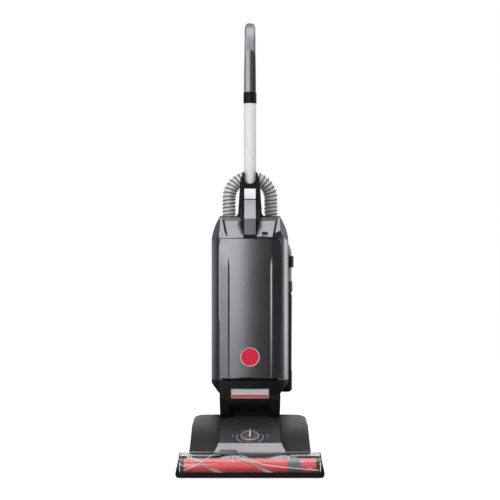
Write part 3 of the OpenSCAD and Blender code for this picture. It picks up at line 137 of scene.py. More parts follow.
def seen_and_glossy(tree):
    """Two masks: rays that see a surface straight or through glass, and glossy rays."""
    rays = tree.nodes.new("ShaderNodeLightPath").outputs
    return sums(tree, "MAXIMUM", rays["Is Camera Ray"], rays["Is Transmission Ray"]), rays["Is Glossy Ray"]


# Seen straight or through glass the sweep is white. A glossy ray finds it dark, lighter where it goes on behind
# the machine, and lightest in a band there near the horizon. Every other ray finds a plain level of light.
gloss_dark, gloss_behind, gloss_band = 0.065, 0.19, 0.26
horizon_half = 0.22
plain_level = 0.34
world = bpy.data.worlds.new("sweep")
scene.world = world
world.use_nodes = True
sky = world.node_tree
sky.nodes.clear()
seen, glossy = seen_and_glossy(sky)
way = split(sky, "ShaderNodeTexCoord", "Generated")
horizon = sums(sky, "LESS_THAN", sums(sky, "ABSOLUTE", way["Z"]), horizon_half)
behind = spread(sky, way["Y"], 0.3, 0.9)
gloss_level = sums(sky, "MULTIPLY_ADD", sums(sky, "MULTIPLY_ADD", horizon, gloss_band, gloss_behind), behind,
                   gloss_dark)
lit = sums(sky, "SUBTRACT", 1.0, sums(sky, "MAXIMUM", seen, glossy))
strength = sums(sky, "MULTIPLY_ADD", lit, plain_level, sums(sky, "MULTIPLY_ADD", glossy, gloss_level, seen))
joined(sky, "ShaderNodeOutputWorld", joined(sky, "ShaderNodeBackground", (1, 1, 1, 1), strength))

# The floor glows where it is seen, and for a glossy ray that meets it well behind the machine. Its matt tone
# keeps the shadow where it is seen, is nearly black in gloss and pale where it lights the machine.
floor_half = 40
floor_glow = 0.865
tone_seen, tone_glossy, tone_lit = 0.40, 0.07, 0.75
floor_mesh = bpy.data.meshes.new("floor")
floor_mesh.from_pydata([(-floor_half, -floor_half, 0), (floor_half, -floor_half, 0), (floor_half, floor_half, 0),
                        (-floor_half, floor_half, 0)], [], [(0, 1, 2, 3)])
floor = placed("floor", floor_mesh)
white_sweep = bpy.data.materials.new("white_sweep")
white_sweep.use_nodes = True
paper = white_sweep.node_tree
paper.nodes.clear()
seen, glossy = seen_and_glossy(paper)
far_back = spread(paper, split(paper, "ShaderNodeNewGeometry", "Position")["Y"], 0.4, 2.4)
glowing = sums(paper, "MAXIMUM", seen, sums(paper, "MULTIPLY", glossy, far_back))
glow = joined(paper, "ShaderNodeEmission", (1, 1, 1, 1), sums(paper, "MULTIPLY", glowing, floor_glow))
tone = sums(paper, "MULTIPLY_ADD", seen, tone_seen - tone_lit,
            sums(paper, "MULTIPLY_ADD", glossy, tone_glossy - tone_lit, tone_lit))
matt = joined(paper, "ShaderNodeBsdfDiffuse", tone)
joined(paper, "ShaderNodeOutputMaterial", joined(paper, "ShaderNodeAddShader", glow, matt))
floor_mesh.materials.append(white_sweep)
floor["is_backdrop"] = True

# ---------- grey mouldings of the body ----------
# The bag door, the shell, the sloping cover and the carry handle are moulded in grey plastic with a fine
# metal fleck and a half-gloss face.

NUMBER, COLOUR = "NodeSocketFloat", "NodeSocketColor"


def shader_group(name, inputs, outputs):
    """An empty node group with named sockets; returns its tree, its given inputs and the outputs to make."""
    tree = bpy.data.node_groups.new(name, "ShaderNodeTree")
    for in_out, sockets in (("INPUT", inputs), ("OUTPUT", outputs)):
        for socket, kind in sockets.items():
            tree.interface.new_socket(socket, in_out=in_out, socket_type=kind)
    return tree, tree.nodes.new("NodeGroupInput").outputs, tree.nodes.new("NodeGroupOutput").inputs


def noise(tree, scale, detail=2.0, where=None):
    """Noise from 0 to 1, in object space unless where is given; scale in cells a metre."""
    n = tree.nodes.new("ShaderNodeTexNoise")
    tree.links.new(where or tree.nodes.new("ShaderNodeTexCoord").outputs["Object"], n.inputs["Vector"])
    put(tree, n.inputs["Scale"], scale)
    n.inputs["Detail"].default_value = detail
    return n.outputs["Fac"]


def blended(tree, factor, a, b):
    """Colour a where factor is 0 and colour b where it is 1."""
    n = tree.nodes.new("ShaderNodeMix")
    n.data_type = "RGBA"
    for socket, source in ((n.inputs[0], factor), (n.inputs[6], a), (n.inputs[7], b)):
        put(tree, socket, source)
    return n.outputs[2]


def shaded(tree, colour, value):
    """The colour made lighter or darker by value."""
    hue, saturation, share = 0.5, 1.0, 1.0
    return joined(tree, "ShaderNodeHueSaturation", hue, saturation, value, share, colour)


# Moulded plastic: a cloudy change of tone, a fine grain and a few rubbed patches that shine a little more
moulded, given, made = shader_group(
    "moulded_plastic",
    {"Colour": COLOUR, "Fleck colour": COLOUR, "Grain size": NUMBER, "Fleck share": NUMBER, "Roughness": NUMBER},
    {"Colour": COLOUR, "Roughness": NUMBER, "Height": NUMBER})
cloud = noise(moulded, 9.0, detail=3.0)
flecks = spread(moulded, noise(moulded, 2600.0, detail=1.0), 0.58, 0.70)
rubbed = spread(moulded, noise(moulded, 38.0, detail=6.0), 0.60, 0.78)
toned = shaded(moulded, given["Colour"], spread(moulded, cloud, 0.3, 0.7, 0.93, 1.06))
flecked = blended(moulded, sums(moulded, "MULTIPLY", flecks, given["Fleck share"]), toned, given["Fleck colour"])
rough = sums(moulded, "MULTIPLY_ADD", rubbed, -0.05, given["Roughness"])
moulded.links.new(flecked, made["Colour"])
moulded.links.new(sums(moulded, "MULTIPLY_ADD", cloud, 0.04, rough), made["Roughness"])
moulded.links.new(noise(moulded, given["Grain size"]), made["Height"])


def material(name, **constants):
    """A material with one Principled shader, whose constants are set on its own sockets."""
    m = bpy.data.materials.new(name)
    m.use_nodes = True
    shader = m.node_tree.nodes["Principled BSDF"]
    for socket, value in constants.items():
        shader.inputs[socket.replace("_", " ")].default_value = value
    return m, m.node_tree, shader


def feed(tree, shader, **sources):
    """Links sources to sockets of the shader; underscores stand for blanks."""
    for socket, source in sources.items():
        tree.links.new(source, shader.inputs[socket.replace("_", " ")])


def bumped(tree, shader, height, depth):
    """A bump of that depth on the shader's normal."""
    n = tree.nodes.new("ShaderNodeBump")
    n.inputs["Distance"].default_value = depth
    n.inputs["Strength"].default_value = 1.0
    tree.links.new(height, n.inputs["Height"])
    feed(tree, shader, Normal=n.outputs["Normal"])


def grouped(name, group, depth, constants, **values):
    """A material whose colour, roughness and bump come from a group with those values on its inputs."""
    m, tree, shader = material(name, **constants)
    n = tree.nodes.new("ShaderNodeGroup")
    n.node_tree = group
    for socket, value in values.items():
        n.inputs[socket.replace("_", " ")].default_value = value
    feed(tree, shader, Base_Color=n.outputs["Colour"], Roughness=n.outputs["Roughness"])
    bumped(tree, shader, n.outputs["Height"], depth)
    return m


def plastic(name, colour, roughness, fleck_colour=None, fleck_share=0.0, grain_size=900.0, grain_depth=0.00004,
            **constants):
    """A moulded plastic of that colour."""
    return grouped(name, moulded, grain_depth, constants, Colour=(*colour, 1), Grain_size=grain_size,
                   Fleck_colour=(*(fleck_colour or colour), 1), Fleck_share=fleck_share, Roughness=roughness)


def dressed(finish, *names):
    """Gives CAD nodes their material."""
    for n in names:
        part[n].data.materials.clear()
        part[n].data.materials.append(finish)


metal_fleck = (0.34, 0.335, 0.35)
fine = {"grain_size": 1500.0, "grain_depth": 0.00001}
graphite = plastic("graphite_plastic", (0.215, 0.209, 0.224), 0.28, metal_fleck, 0.35, **fine, Metallic=0.94,
                   Specular_IOR_Level=0.5)
dressed(graphite, "body_shell", "top_cover", "bag_door", "carry_handle")

# ---------- hood and covers of the foot ----------
# The hood over the motor is moulded in the body's grey and has a black rear end. The hollow fenders on its
# sides are of a darker slate grey. All three sit on the chassis.

hood_metallic = 0.7
seam_y, seam_half = 0.0155, 0.0005
hood_grey = plastic("hood_plastic", (0.225, 0.219, 0.234), 0.28, metal_fleck, 0.35, **fine,
                    Metallic=hood_metallic, Specular_IOR_Level=0.5)
tree, shader = hood_grey.node_tree, hood_grey.node_tree.nodes["Principled BSDF"]
front = spread(tree, split(tree)["Y"], seam_y - seam_half, seam_y + seam_half, 1.0, 0.0)
grey = shader.inputs["Base Color"].links[0].from_socket
feed(tree, shader, Base_Color=blended(tree, front, (0.030, 0.030, 0.032, 1), grey),
     Metallic=sums(tree, "MULTIPLY", front, hood_metallic))
dressed(hood_grey, "hood")
slate = plastic("slate_plastic", (0.068, 0.066, 0.071), 0.32, (0.12, 0.12, 0.126), 0.25, **fine, Metallic=0.5,
                Specular_IOR_Level=0.5)
dressed(slate, "left_side_cover", "right_side_cover")

# ---------- black mouldings ----------
# Chassis, lower housing, socket of the handle, cup of the wand, wheels and small working parts are moulded in
# black plastic with a fine leathery grain. The wand is smoother, and the motor's barrel is a lighter black.

black = plastic("black_plastic", (0.0085, 0.0085, 0.0090), 0.42, grain_size=1100.0, grain_depth=0.00003,
                Specular_IOR_Level=0.13)
dressed(black, "foot_chassis", "lower_housing", "handle_socket", "tube_collar", "hose_elbow", "hose_clip",
        "wand_cup", "lower_cord_hook", "door_latch", "brush_end_caps", "height_carriage", "release_pedal",
        "bag_indicator", "left_wheel", "right_wheel")
wand_black = plastic("wand_plastic", (0.009, 0.009, 0.0095), 0.40, grain_size=700.0, grain_depth=0.00001,
                     Specular_IOR_Level=0.12)
dressed(wand_black, "wand")
barrel_grey = plastic("motor_cover_plastic", (0.036, 0.036, 0.038), 0.42, grain_size=1000.0, grain_depth=0.00003,
                      Specular_IOR_Level=0.35)
dressed(barrel_grey, "motor_cover", "left_trunnion", "right_trunnion")

# ---------- rubber ----------
# Bumper, tyres, rollers, cuffs of the hose and gland of the lead are matt rubber that takes up a little dust.
# The drive belt has fine ribs that run along it.

dusty_rubber, given, made = shader_group(
    "dusty_rubber", {"Colour": COLOUR, "Dust": COLOUR, "Amount": NUMBER, "Roughness": NUMBER},
    {"Colour": COLOUR, "Roughness": NUMBER, "Height": NUMBER})
settled = spread(dusty_rubber, noise(dusty_rubber, 60.0, detail=5.0), 0.45, 0.75)
dusty = sums(dusty_rubber, "MULTIPLY", settled, given["Amount"])
dusty_rubber.links.new(blended(dusty_rubber, dusty, given["Colour"], given["Dust"]), made["Colour"])
dusty_rubber.links.new(sums(dusty_rubber, "MULTIPLY_ADD", dusty, 0.3, given["Roughness"]), made["Roughness"])
dusty_rubber.links.new(noise(dusty_rubber, 1400.0, detail=3.0), made["Height"])


def rubber(name, colour, roughness, dust, **constants):
    """A rubber of that colour, with a share of its face under pale dust."""
    return grouped(name, dusty_rubber, 0.00003, constants, Colour=(*colour, 1), Dust=(0.16, 0.155, 0.15, 1),
                   Amount=dust, Roughness=roughness)


bumper_rubber = rubber("bumper_rubber", (0.0070, 0.0090, 0.0100), 0.42, dust=0.03, Specular_IOR_Level=0.12)
dressed(bumper_rubber, "bumper")
tyre_rubber = rubber("tyre_rubber", (0.048, 0.048, 0.051), 0.60, dust=0.25)
dressed(tyre_rubber, "left_tyre", "right_tyre", "left_roller", "right_roller")
dressed(rubber("cuff_rubber", (0.022, 0.022, 0.023), 0.50, dust=0.08), "hose_cuffs", "cord_gland")

belt_rib_pitch = 0.0023
belt_rubber, tree, shader = material("belt_rubber", Roughness=0.6)
ribs = sums(tree, "SINE", sums(tree, "MULTIPLY", split(tree)["X"], 2 * math.pi / belt_rib_pitch))
# Painted shade: the belt is darker in the grooves between the ribs and lighter on their crests
rib_painted_shade = spread(tree, ribs, -1.0, 1.0)
feed(tree, shader, Base_Color=blended(tree, rib_painted_shade, (0.04, 0.04, 0.044, 1), (0.10, 0.096, 0.104, 1)))
bumped(tree, shader, ribs, 0.0002)
dressed(belt_rubber, "drive_belt")

# ---------- metal ----------
# Pins, axles, screws and the bottom plate are turned and drawn steel. The handle tube is pale anodised
# aluminium, the fan cast aluminium, and the motor's stator and rotor are iron wound with copper.

drawn_metal, given, made = shader_group(
    "drawn_metal", {"Colour": COLOUR, "Length": NUMBER, "Roughness": NUMBER},
    {"Colour": COLOUR, "Roughness": NUMBER, "Height": NUMBER})
along = drawn_metal.nodes.new("ShaderNodeMapping")
drawn_metal.links.new(drawn_metal.nodes.new("ShaderNodeTexCoord").outputs["Object"], along.inputs["Vector"])
along.inputs["Scale"].default_value = (1.0, 1.0, 0.03)
lines = noise(drawn_metal, given["Length"], 3.0, along.outputs["Vector"])
lined = shaded(drawn_metal, given["Colour"], spread(drawn_metal, lines, 0.3, 0.7, 0.92, 1.05))
drawn_metal.links.new(lined, made["Colour"])
drawn_metal.links.new(sums(drawn_metal, "MULTIPLY_ADD", lines, 0.10, given["Roughness"]), made["Roughness"])
drawn_metal.links.new(lines, made["Height"])


def metal(name, colour, roughness, depth=0.00001, **constants):
    """A drawn or turned metal of that colour, with fine lines along it."""
    return grouped(name, drawn_metal, depth, constants, Colour=(*colour, 1), Length=1800.0, Roughness=roughness)


dressed(metal("bright_steel", (0.72, 0.72, 0.74), 0.24, Metallic=1.0), "wheel_axles", "carriage_pin", "pedal_pin",
        "foot_screws", "roller_axles", "tube_bolt", "door_pins", "body_screws", "bottom_plate")
dressed(metal("tube_aluminium", (0.70, 0.70, 0.715), 0.40, Metallic=0.0, Specular_IOR_Level=0.10), "handle_tube")
dressed(metal("fan_aluminium", (0.78, 0.78, 0.80), 0.34, Metallic=1.0), "fan")
dressed(metal("motor_iron", (0.40, 0.30, 0.22), 0.45, 0.00003, Metallic=0.8), "motor_stator", "motor_rotor")

# ---------- handle ----------
# The loop of the grip is moulded in grey plastic, with a smoother pointed strip let into its front. The power
# switch is a small pale key.

dressed(plastic("grip_plastic", (0.30, 0.295, 0.312), 0.46, (0.42, 0.415, 0.43), 0.25, grain_size=1300.0,
                grain_depth=0.00001, Metallic=0.6), "grip_loop")
dressed(plastic("strip_plastic", (0.215, 0.210, 0.222), 0.30, grain_size=1600.0, grain_depth=0.00003,
                Metallic=0.9), "grip_insert")
dressed(plastic("switch_plastic", (0.80, 0.795, 0.82), 0.35, grain_size=1200.0, grain_depth=0.00001),
        "power_switch")

# ---------- height knob ----------
# A dished knob on the hood. A light bar with a red tail is inlaid in its ridge and a bright bead runs round its
# rim. The dial is printed on the hood: three arcs between the numbers 1 and 5.

dressed(plastic("knob_plastic", (0.22, 0.215, 0.23), 0.30, (0.4, 0.4, 0.42), 0.2, grain_size=1200.0,
                grain_depth=0.00001, Metallic=0.4), "height_knob")
knob_place = np.array([0, -0.0465, 0.0846])
knob_tilt = math.radians(19.47)
off_hood = np.array([0, -math.sin(knob_tilt), math.cos(knob_tilt)])
to_right = (1, 0, 0)


def solid(name, grids, finish, ring=False):
    """One mesh of closed solids, each over a grid of points: shape (count, rows, columns, 3). The columns run
    round and meet. The rows meet too where ring is true, and otherwise end in flat caps."""
    grids = np.asarray(grids, float)
    grids = grids if grids.ndim == 4 else grids[None]
    count, rows, columns = grids.shape[:3]
    i = np.arange(rows if ring else rows - 1)[:, None]
    j = np.arange(columns)[None, :]
    below, beside = (i + 1) % rows, (j + 1) % columns
    corners = [(i, j), (i, beside), (below, beside), (below, j)]
    quads = np.stack([a * columns + b for a, b in corners], -1).reshape(-1, 4)
    caps = [] if ring else [np.arange(columns)[::-1], np.arange(columns) + (rows - 1) * columns]
    # The sign of the first solid's volume tells whether its faces point inwards and have to be turned
    points = grids[0].reshape(-1, 3) - grids[0].reshape(-1, 3).mean(0)
    fans = [quads[:, [0, 1, 2]], quads[:, [0, 2, 3]]]
    fans += [np.stack([np.full(columns - 2, c[0]), c[1:-1], c[2:]], -1) for c in caps]
    a, b, c = np.moveaxis(points[np.concatenate(fans)], 1, 0)
    turn = slice(None, None, -1 if np.einsum("ij,ij->", a, np.cross(b, c)) < 0 else 1)
    faces = []
    for start in rows * columns * np.arange(count):
        faces += (quads[:, turn] + start).tolist()
        faces += [(cap[turn] + start).tolist() for cap in caps]
    mesh = bpy.data.meshes.new(name)
    mesh.from_pydata(grids.reshape(-1, 3).tolist(), [], faces)
    mesh.polygons.foreach_set("use_smooth", [len(f) == 4 for f in faces])
    mesh.materials.append(finish)
    return placed(name, mesh)


def bar(path, across, up, profile):
    """Grid of a bar along path: profile points (p, q) lie at p * across + q * up from each of its points."""
    profile = np.asarray(profile)
    return (np.asarray(path)[:, None, :] + profile[None, :, :1] * np.reshape(across, (-1, 1, 3))
            + profile[None, :, 1:] * np.reshape(up, (-1, 1, 3)))


def round_profile(a, b=None, sides=10):
    """Points (a cos t, b sin t) of an ellipse, or of a circle where b isn't given."""
    t = 2 * np.pi * np.arange(sides) / sides
    return np.stack([a * np.cos(t), (b or a) * np.sin(t)], -1)


def on_knob(u, v, w):
    """Points at u across, v up the slope of the hood and w off it, from the middle of the knob."""
    u, v, w = np.broadcast_arrays(u, v, w)
    return knob_place + np.stack([u, v * math.cos(knob_tilt) - w * math.sin(knob_tilt),
                                  v * math.sin(knob_tilt) + w * math.cos(knob_tilt)], -1)


def round_knob(radius, t, lift):
    """Points of a circle round the knob, at angles t and a lift off the hood, and the way out from its middle."""
    return (on_knob(radius * np.cos(t), radius * np.sin(t), lift),
            on_knob(np.cos(t), np.sin(t), 0 * t) - knob_place)


rim_round, rim_lift = 0.0218, 0.0039
bead_half, bead_rise = 0.0009, 0.0005
inlay_half, inlay_rise = 0.0018, 0.0004
inlay_box = [(-inlay_half, 0), (inlay_half, 0), (inlay_half, inlay_rise), (-inlay_half, inlay_rise)]
pointer_v, pointer_w = np.array([-0.008, 0.016, 0.0212]), np.array([0.0059, 0.0109, 0.0094])
tail_v, tail_w = np.array([-0.019, -0.0085]), np.array([0.0024, 0.0057])
pale_inlay = plastic("pale_inlay", (0.74, 0.73, 0.75), 0.30, **fine, Metallic=0.2)
red_inlay = plastic("red_inlay", (0.62, 0.04, 0.045), 0.32, **fine)
rim, out = round_knob(rim_round, np.linspace(0, 2 * np.pi, 97)[:-1], rim_lift)
rim_bead = solid("knob_rim", bar(rim, out, off_hood, round_profile(bead_half, bead_rise)), pale_inlay, ring=True)
pointer = solid("knob_pointer", bar(on_knob(0, pointer_v, pointer_w), to_right, off_hood, inlay_box), pale_inlay)
tail = solid("knob_tail", bar(on_knob(0, tail_v, tail_w), to_right, off_hood, inlay_box), red_inlay)
for piece, finish in ((rim_bead, "light_grey_plastic"), (pointer, "white_plastic"), (tail, "red_plastic")):
    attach(piece, "knob")


def dial_arc(radius, start, end, width):
    """Grid of a flat printed arc on the hood, from start to end in degrees round the knob."""
    half, sunk, proud = width / 2, 0.0002, 0.00012
    path, out = round_knob(radius, np.radians(np.linspace(start, end, 33)), 0.0)
    return bar(path, out, off_hood, [(-half, -sunk), (half, -sunk), (half, proud), (-half, proud)])


dial_print = plastic("dial_print", (0.66, 0.65, 0.68), 0.5, **fine)
dial = solid("dial_arcs", [dial_arc(0.0325, 152, 232, 0.0010), dial_arc(0.0325, 28, -52, 0.0010),
                           dial_arc(0.0345, 52, 128, 0.0008)], dial_print)
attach(dial, "foot")
number_u, number_v = 0.043, 0.003
for digit, u in (("1", -number_u), ("5", number_u)):
    curve = bpy.data.curves.new("number_" + digit, "FONT")
    curve.body = digit
    curve.size = 0.011
    curve.align_x = "CENTER"
    curve.extrude = 0.00015
    text = placed("number_" + digit, curve)
    mesh = bpy.data.meshes.new_from_object(text.evaluated_get(bpy.context.evaluated_depsgraph_get()))
    bpy.data.objects.remove(text)
    flat = np.empty(3 * len(mesh.vertices))
    mesh.vertices.foreach_get("co", flat)
    x, y, z = flat.reshape(-1, 3).T
    mesh.vertices.foreach_set("co", on_knob(x + u, y + number_v, z).ravel())
    mesh.materials.clear()
    mesh.materials.append(dial_print)
    number = placed("number_" + digit, mesh)
    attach(number, "foot")

# ---------- bevels of the bag door ----------
# The middle of the door looks moulded deeper: a bevel of the door's own plastic leads down to it along each
# side, steepest in the upper half, and runs out near the top. An apron closes the step at the door's foot.

door_y = -0.052
panel_half, panel_rise = 0.052, 0.004
panel_round = (panel_half ** 2 + panel_rise ** 2) / (2 * panel_rise)
facet_slope = 10 / 24.5
skin = 0.00003


def door_front(x):
    """Front of the door at x: an arc y = y0 + R - sqrt(R^2 - x^2), and a flat facet on either side of it."""
    near = np.minimum(np.abs(x), panel_half)
    return door_y + panel_round - np.sqrt(panel_round ** 2 - near ** 2) + facet_slope * (np.abs(x) - near)


# A bevel's section is a low wedge: up from the panel to the crest, and down again over a wide flank. Its height
# h = run_out * (low + gain * share of the way up), where run_out falls from 1 to 0 below the top.
bevel_foot, bevel_top, run_out_length = 0.2287, 0.545, 0.045
bevel_low, bevel_gain, gain_foot, gain_length = 0.0014, 0.0007, 0.235, 0.165
crest_x, bevel_width, flank_width, bevel_root = 0.0545, 0.0043, 0.020, 0.0006
z = np.linspace(bevel_foot, bevel_top, 48)
run_out = np.clip((bevel_top - z) / run_out_length, 0, 1)
rise = run_out * (bevel_low + bevel_gain * np.clip((z - gain_foot) / gain_length, 0, 1))
crest = crest_x + 0 * z
inner = crest - bevel_width * (0.35 + 0.65 * run_out)
outer = crest + flank_width
section = [(inner, door_front(inner) + skin), (crest, door_front(crest) + skin - rise),
           (outer, door_front(outer) + skin), (outer, door_front(outer) + bevel_root),
           (inner, door_front(inner) + bevel_root)]
right = np.stack([np.stack([x, y, z], -1) for x, y in section], 1)
bevels = solid("door_bevels", [right, right * (-1, 1, 1)], graphite)

# The apron is a sheet y(x, z): the door's front, held back at its foot by the round of the door's lower edge
apron_half, apron_depth, thinnest = 0.0512, 0.0023, 0.0003
edge_round, edge_y, edge_z = 0.004, -0.048, 0.2325
z = np.array([0.2286, 0.2288, 0.2292, 0.2298, 0.2306, 0.2315, 0.2325, 0.2420, 0.2518])[:, None]
x = np.linspace(-apron_half, apron_half, 61)[None, :]
edge = edge_y - np.sqrt(edge_round ** 2 - np.clip(edge_z - z, 0, edge_round) ** 2)
face = np.maximum(door_front(x) + skin, edge)
back = np.maximum(door_front(x) + apron_depth, face + thinnest)
sheet = [np.stack(np.broadcast_arrays(x, y, z), -1) for y in (face, back)]
apron = solid("door_apron", np.concatenate([sheet[0], sheet[1][:, ::-1]], 1), graphite)
for piece in (bevels, apron):
    piece.data.polygons.foreach_set("use_smooth", [False] * len(piece.data.polygons))
    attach(piece, "door")

# ---------- nozzle window ----------
# A clear moulding closes the chamber of the brush in front and above. Two raised creases run over it, from the
# notch of the hood down to the front corners. Their near-white colour is a painted highlight.

clear_plastic, tree, shader = material("clear_plastic", Base_Color=(0.97, 0.98, 0.985, 1), Roughness=0.03,
                                       Transmission_Weight=1.0, IOR=1.46, Specular_IOR_Level=0.5)
# The lamps' rays go straight through it
through = joined(tree, "ShaderNodeBsdfTransparent", (0.96, 0.97, 0.975, 1))
shadow = tree.nodes.new("ShaderNodeLightPath").outputs["Is Shadow Ray"]
mixed = joined(tree, "ShaderNodeMixShader", shadow, shader.outputs["BSDF"], through)
feed(tree, tree.nodes["Material Output"], Surface=mixed)
dressed(clear_plastic, "nozzle_window")

# A crease follows corners (x, z), smoothed, on the round front of the window: y = y0 - sqrt(r^2 - (z - z0)^2)
brush_y, brush_z = -0.130, 0.028
window_round = 0.028
smoothing = 9
creases = []
for corners in ([(-0.159, 0.022), (-0.134, 0.032), (-0.109, 0.0446), (-0.092, 0.0553), (-0.084, 0.056)],
                [(-0.022, 0.056), (-0.007, 0.0508), (0.023, 0.037), (0.078, 0.0296), (0.163, 0.022)]):
    corners = np.array(corners)
    x = np.linspace(corners[0, 0], corners[-1, 0], 60)
    z = np.interp(x, *corners.T)
    z = np.convolve(np.pad(z, smoothing // 2, "edge"), np.ones(smoothing) / smoothing, "valid")
    y = brush_y - np.sqrt(np.maximum(window_round ** 2 - (z - brush_z) ** 2, 0))
    out = np.stack([0 * x, y - brush_y, z - brush_z], -1) / window_round
    path = np.stack([x, y, z], -1)
    along = np.gradient(path, axis=0)
    along /= np.linalg.norm(along, axis=1, keepdims=True)
    creases.append(bar(path, np.cross(out, along), out, round_profile(0.0007, 0.0005, sides=8)))
# The creases are opaque near-white plastic: a painted highlight along each
crease_lines = solid("window_creases", creases, plastic("crease_painted_highlight", (0.85, 0.84, 0.85), 0.12, **fine))
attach(crease_lines, "foot")

# ---------- brush ----------
# The core is moulded in red plastic, and a dark band near its right end carries the belt. Tufts of stiff nylon
# are set in two rows of holes that wind round the core.

belt_x, belt_band_half = 0.106, 0.0160
red_core, tree, shader = material("red_core", Roughness=0.28)
from_belt = sums(tree, "ABSOLUTE", sums(tree, "SUBTRACT", split(tree)["X"], belt_x))
belt_band = spread(tree, from_belt, belt_band_half, belt_band_half + 0.0003, 1.0, 0.0)
streak = spread(tree, noise(tree, 50.0, detail=4.0), 0.3, 0.7)
red = blended(tree, streak, (0.42, 0.018, 0.024, 1), (0.50, 0.030, 0.034, 1))
feed(tree, shader, Base_Color=blended(tree, belt_band, red, (0.075, 0.072, 0.078, 1)))
dressed(red_core, "brush_core")

# Each filament leans out of its hole and bends a little: at a share h of its height it lies at
# root + lean h^1.6 across the tuft, which is then turned about the brush's axis to its place in the row
tufts_in_row, tuft_pitch, tuft_turn = 45, 0.0067, 10
hole_round, tip_spread, tip_scatter = 0.0021, 0.0019, 0.00022
core_round, shortest, longest = 0.0155, 0.0240, 0.0249
filaments, filament_round = 34, 0.00017
nylon = plastic("nylon", (0.80, 0.80, 0.80), 0.45, **fine)
chance = np.random.default_rng(7)
tuft_x = -0.148 + tuft_pitch * np.arange(tufts_in_row)
turn = np.radians(tuft_turn * (np.arange(tufts_in_row) + 1.6))
beside_belt = np.abs(tuft_x - belt_x) > 0.0125
tuft_x, turn = tuft_x[beside_belt], turn[beside_belt]
tuft_x, turn = np.concatenate([tuft_x, tuft_x]), np.concatenate([turn, turn + np.pi])
spin = chance.uniform(0, 2 * np.pi, (len(turn), filaments))
reach = np.sqrt(chance.uniform(0, 1, spin.shape))[..., None]
heading = np.stack([np.cos(spin), np.sin(spin)], -1)
root = hole_round * reach * heading
lean = tip_spread * reach * heading + chance.normal(0, tip_scatter, root.shape)
length = chance.uniform(shortest, longest, spin.shape)[..., None, None]
h = np.linspace(0, 1, 4)[None, None, :, None]
flat = (root[:, :, None] + lean[:, :, None] * h ** 1.6)[..., None, :]
flat = flat + round_profile(filament_round, sides=3)[None, None, None]
px, py = flat[..., 0], flat[..., 1]
pz = np.broadcast_to(core_round + (length - core_round) * h, px.shape)
cos, sin = np.cos(turn)[:, None, None, None], np.sin(turn)[:, None, None, None]
hairs = np.stack([tuft_x[:, None, None, None] + px, brush_y + py * cos - pz * sin, brush_z + py * sin + pz * cos],
                 -1)
tufts = solid("nylon_tufts", hairs.reshape(-1, 4, 3, 3), nylon)
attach(tufts, "brush")
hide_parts("brush_bristles")

# ---------- badge and label ----------
# The badge is a red lacquered disc in a light ring, set in the door. The label under the body is a printed film
# with a light metallic frame, a grey field and a red stripe along its foot, stuck on its plate.

ring_round = 0.0217
badge_red, tree, shader = material("badge_red", Roughness=0.18, Coat_Weight=0.6, Coat_Roughness=0.06)
low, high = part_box("round_badge")
middle = ((low[0] + high[0]) / 2, 0, (low[2] + high[2]) / 2)
place = tree.nodes.new("ShaderNodeTexCoord").outputs["Object"]
offset = joined(tree, "ShaderNodeVectorMath", place, middle, operation="SUBTRACT")
flat = joined(tree, "ShaderNodeVectorMath", offset, (1, 0, 1), operation="MULTIPLY")
reach = joined(tree, "ShaderNodeVectorMath", flat, operation="LENGTH").node.outputs["Value"]
in_ring = spread(tree, reach, ring_round, ring_round + 0.0003)
streak = spread(tree, noise(tree, 90.0), 0.3, 0.7)
red = blended(tree, streak, (0.60, 0.012, 0.045, 1), (0.66, 0.02, 0.055, 1))
feed(tree, shader, Base_Color=blended(tree, in_ring, red, (0.62, 0.62, 0.64, 1)))
dressed(badge_red, "round_badge")

frame_x, frame_z, stripe_height = 0.0022, 0.0018, 0.0085
label_film, tree, shader = material("label_film", Roughness=0.32)
place = split(tree)
low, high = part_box("label_plate")
from_middle = sums(tree, "ABSOLUTE", sums(tree, "SUBTRACT", place["Z"], (low[2] + high[2]) / 2))
edge_x = sums(tree, "GREATER_THAN", sums(tree, "ABSOLUTE", place["X"]), high[0] - frame_x)
edge_z = sums(tree, "GREATER_THAN", from_middle, (high[2] - low[2]) / 2 - frame_z)
in_frame = sums(tree, "MAXIMUM", edge_x, edge_z)
stripe = sums(tree, "LESS_THAN", place["Z"], low[2] + stripe_height)
field = blended(tree, stripe, (0.44, 0.44, 0.45, 1), (0.48, 0.05, 0.06, 1))
feed(tree, shader, Base_Color=blended(tree, in_frame, field, (0.55, 0.55, 0.57, 1)),
     Metallic=sums(tree, "MULTIPLY", in_frame, 0.7))
dressed(label_film, "label_plate")

# ---------- hose ----------
# Stretch hose of pale grey plastic, with one rib that winds along it under a coated wire. It leaves the wand's
# cuff, arches over behind the handle and ends in the elbow's cuff. Its first stretch, through the clip and up
# behind the body, is a nearly smooth sleeve of a darker grey, without the wire.

hose_plastic = plastic("hose_plastic", (0.78, 0.775, 0.80), 0.36, grain_size=500.0, grain_depth=0.00001,
                       Metallic=0.1)
tree, shader = hose_plastic.node_tree, hose_plastic.node_tree.nodes["Principled BSDF"]
on_sleeve = spread(tree, split(tree)["Z"], 0.575, 0.590, 1.0, 0.0)
pale = shader.inputs["Base Color"].links[0].from_socket
feed(tree, shader, Base_Color=blended(tree, on_sleeve, pale, (0.22, 0.217, 0.228, 1)))
# Painted shade: the wire's near-black colour stands for the shade along the crests of the rib
wire_painted_shade = plastic("wire_painted_shade", (0.085, 0.083, 0.090), 0.38, grain_size=900.0, grain_depth=0.00001)

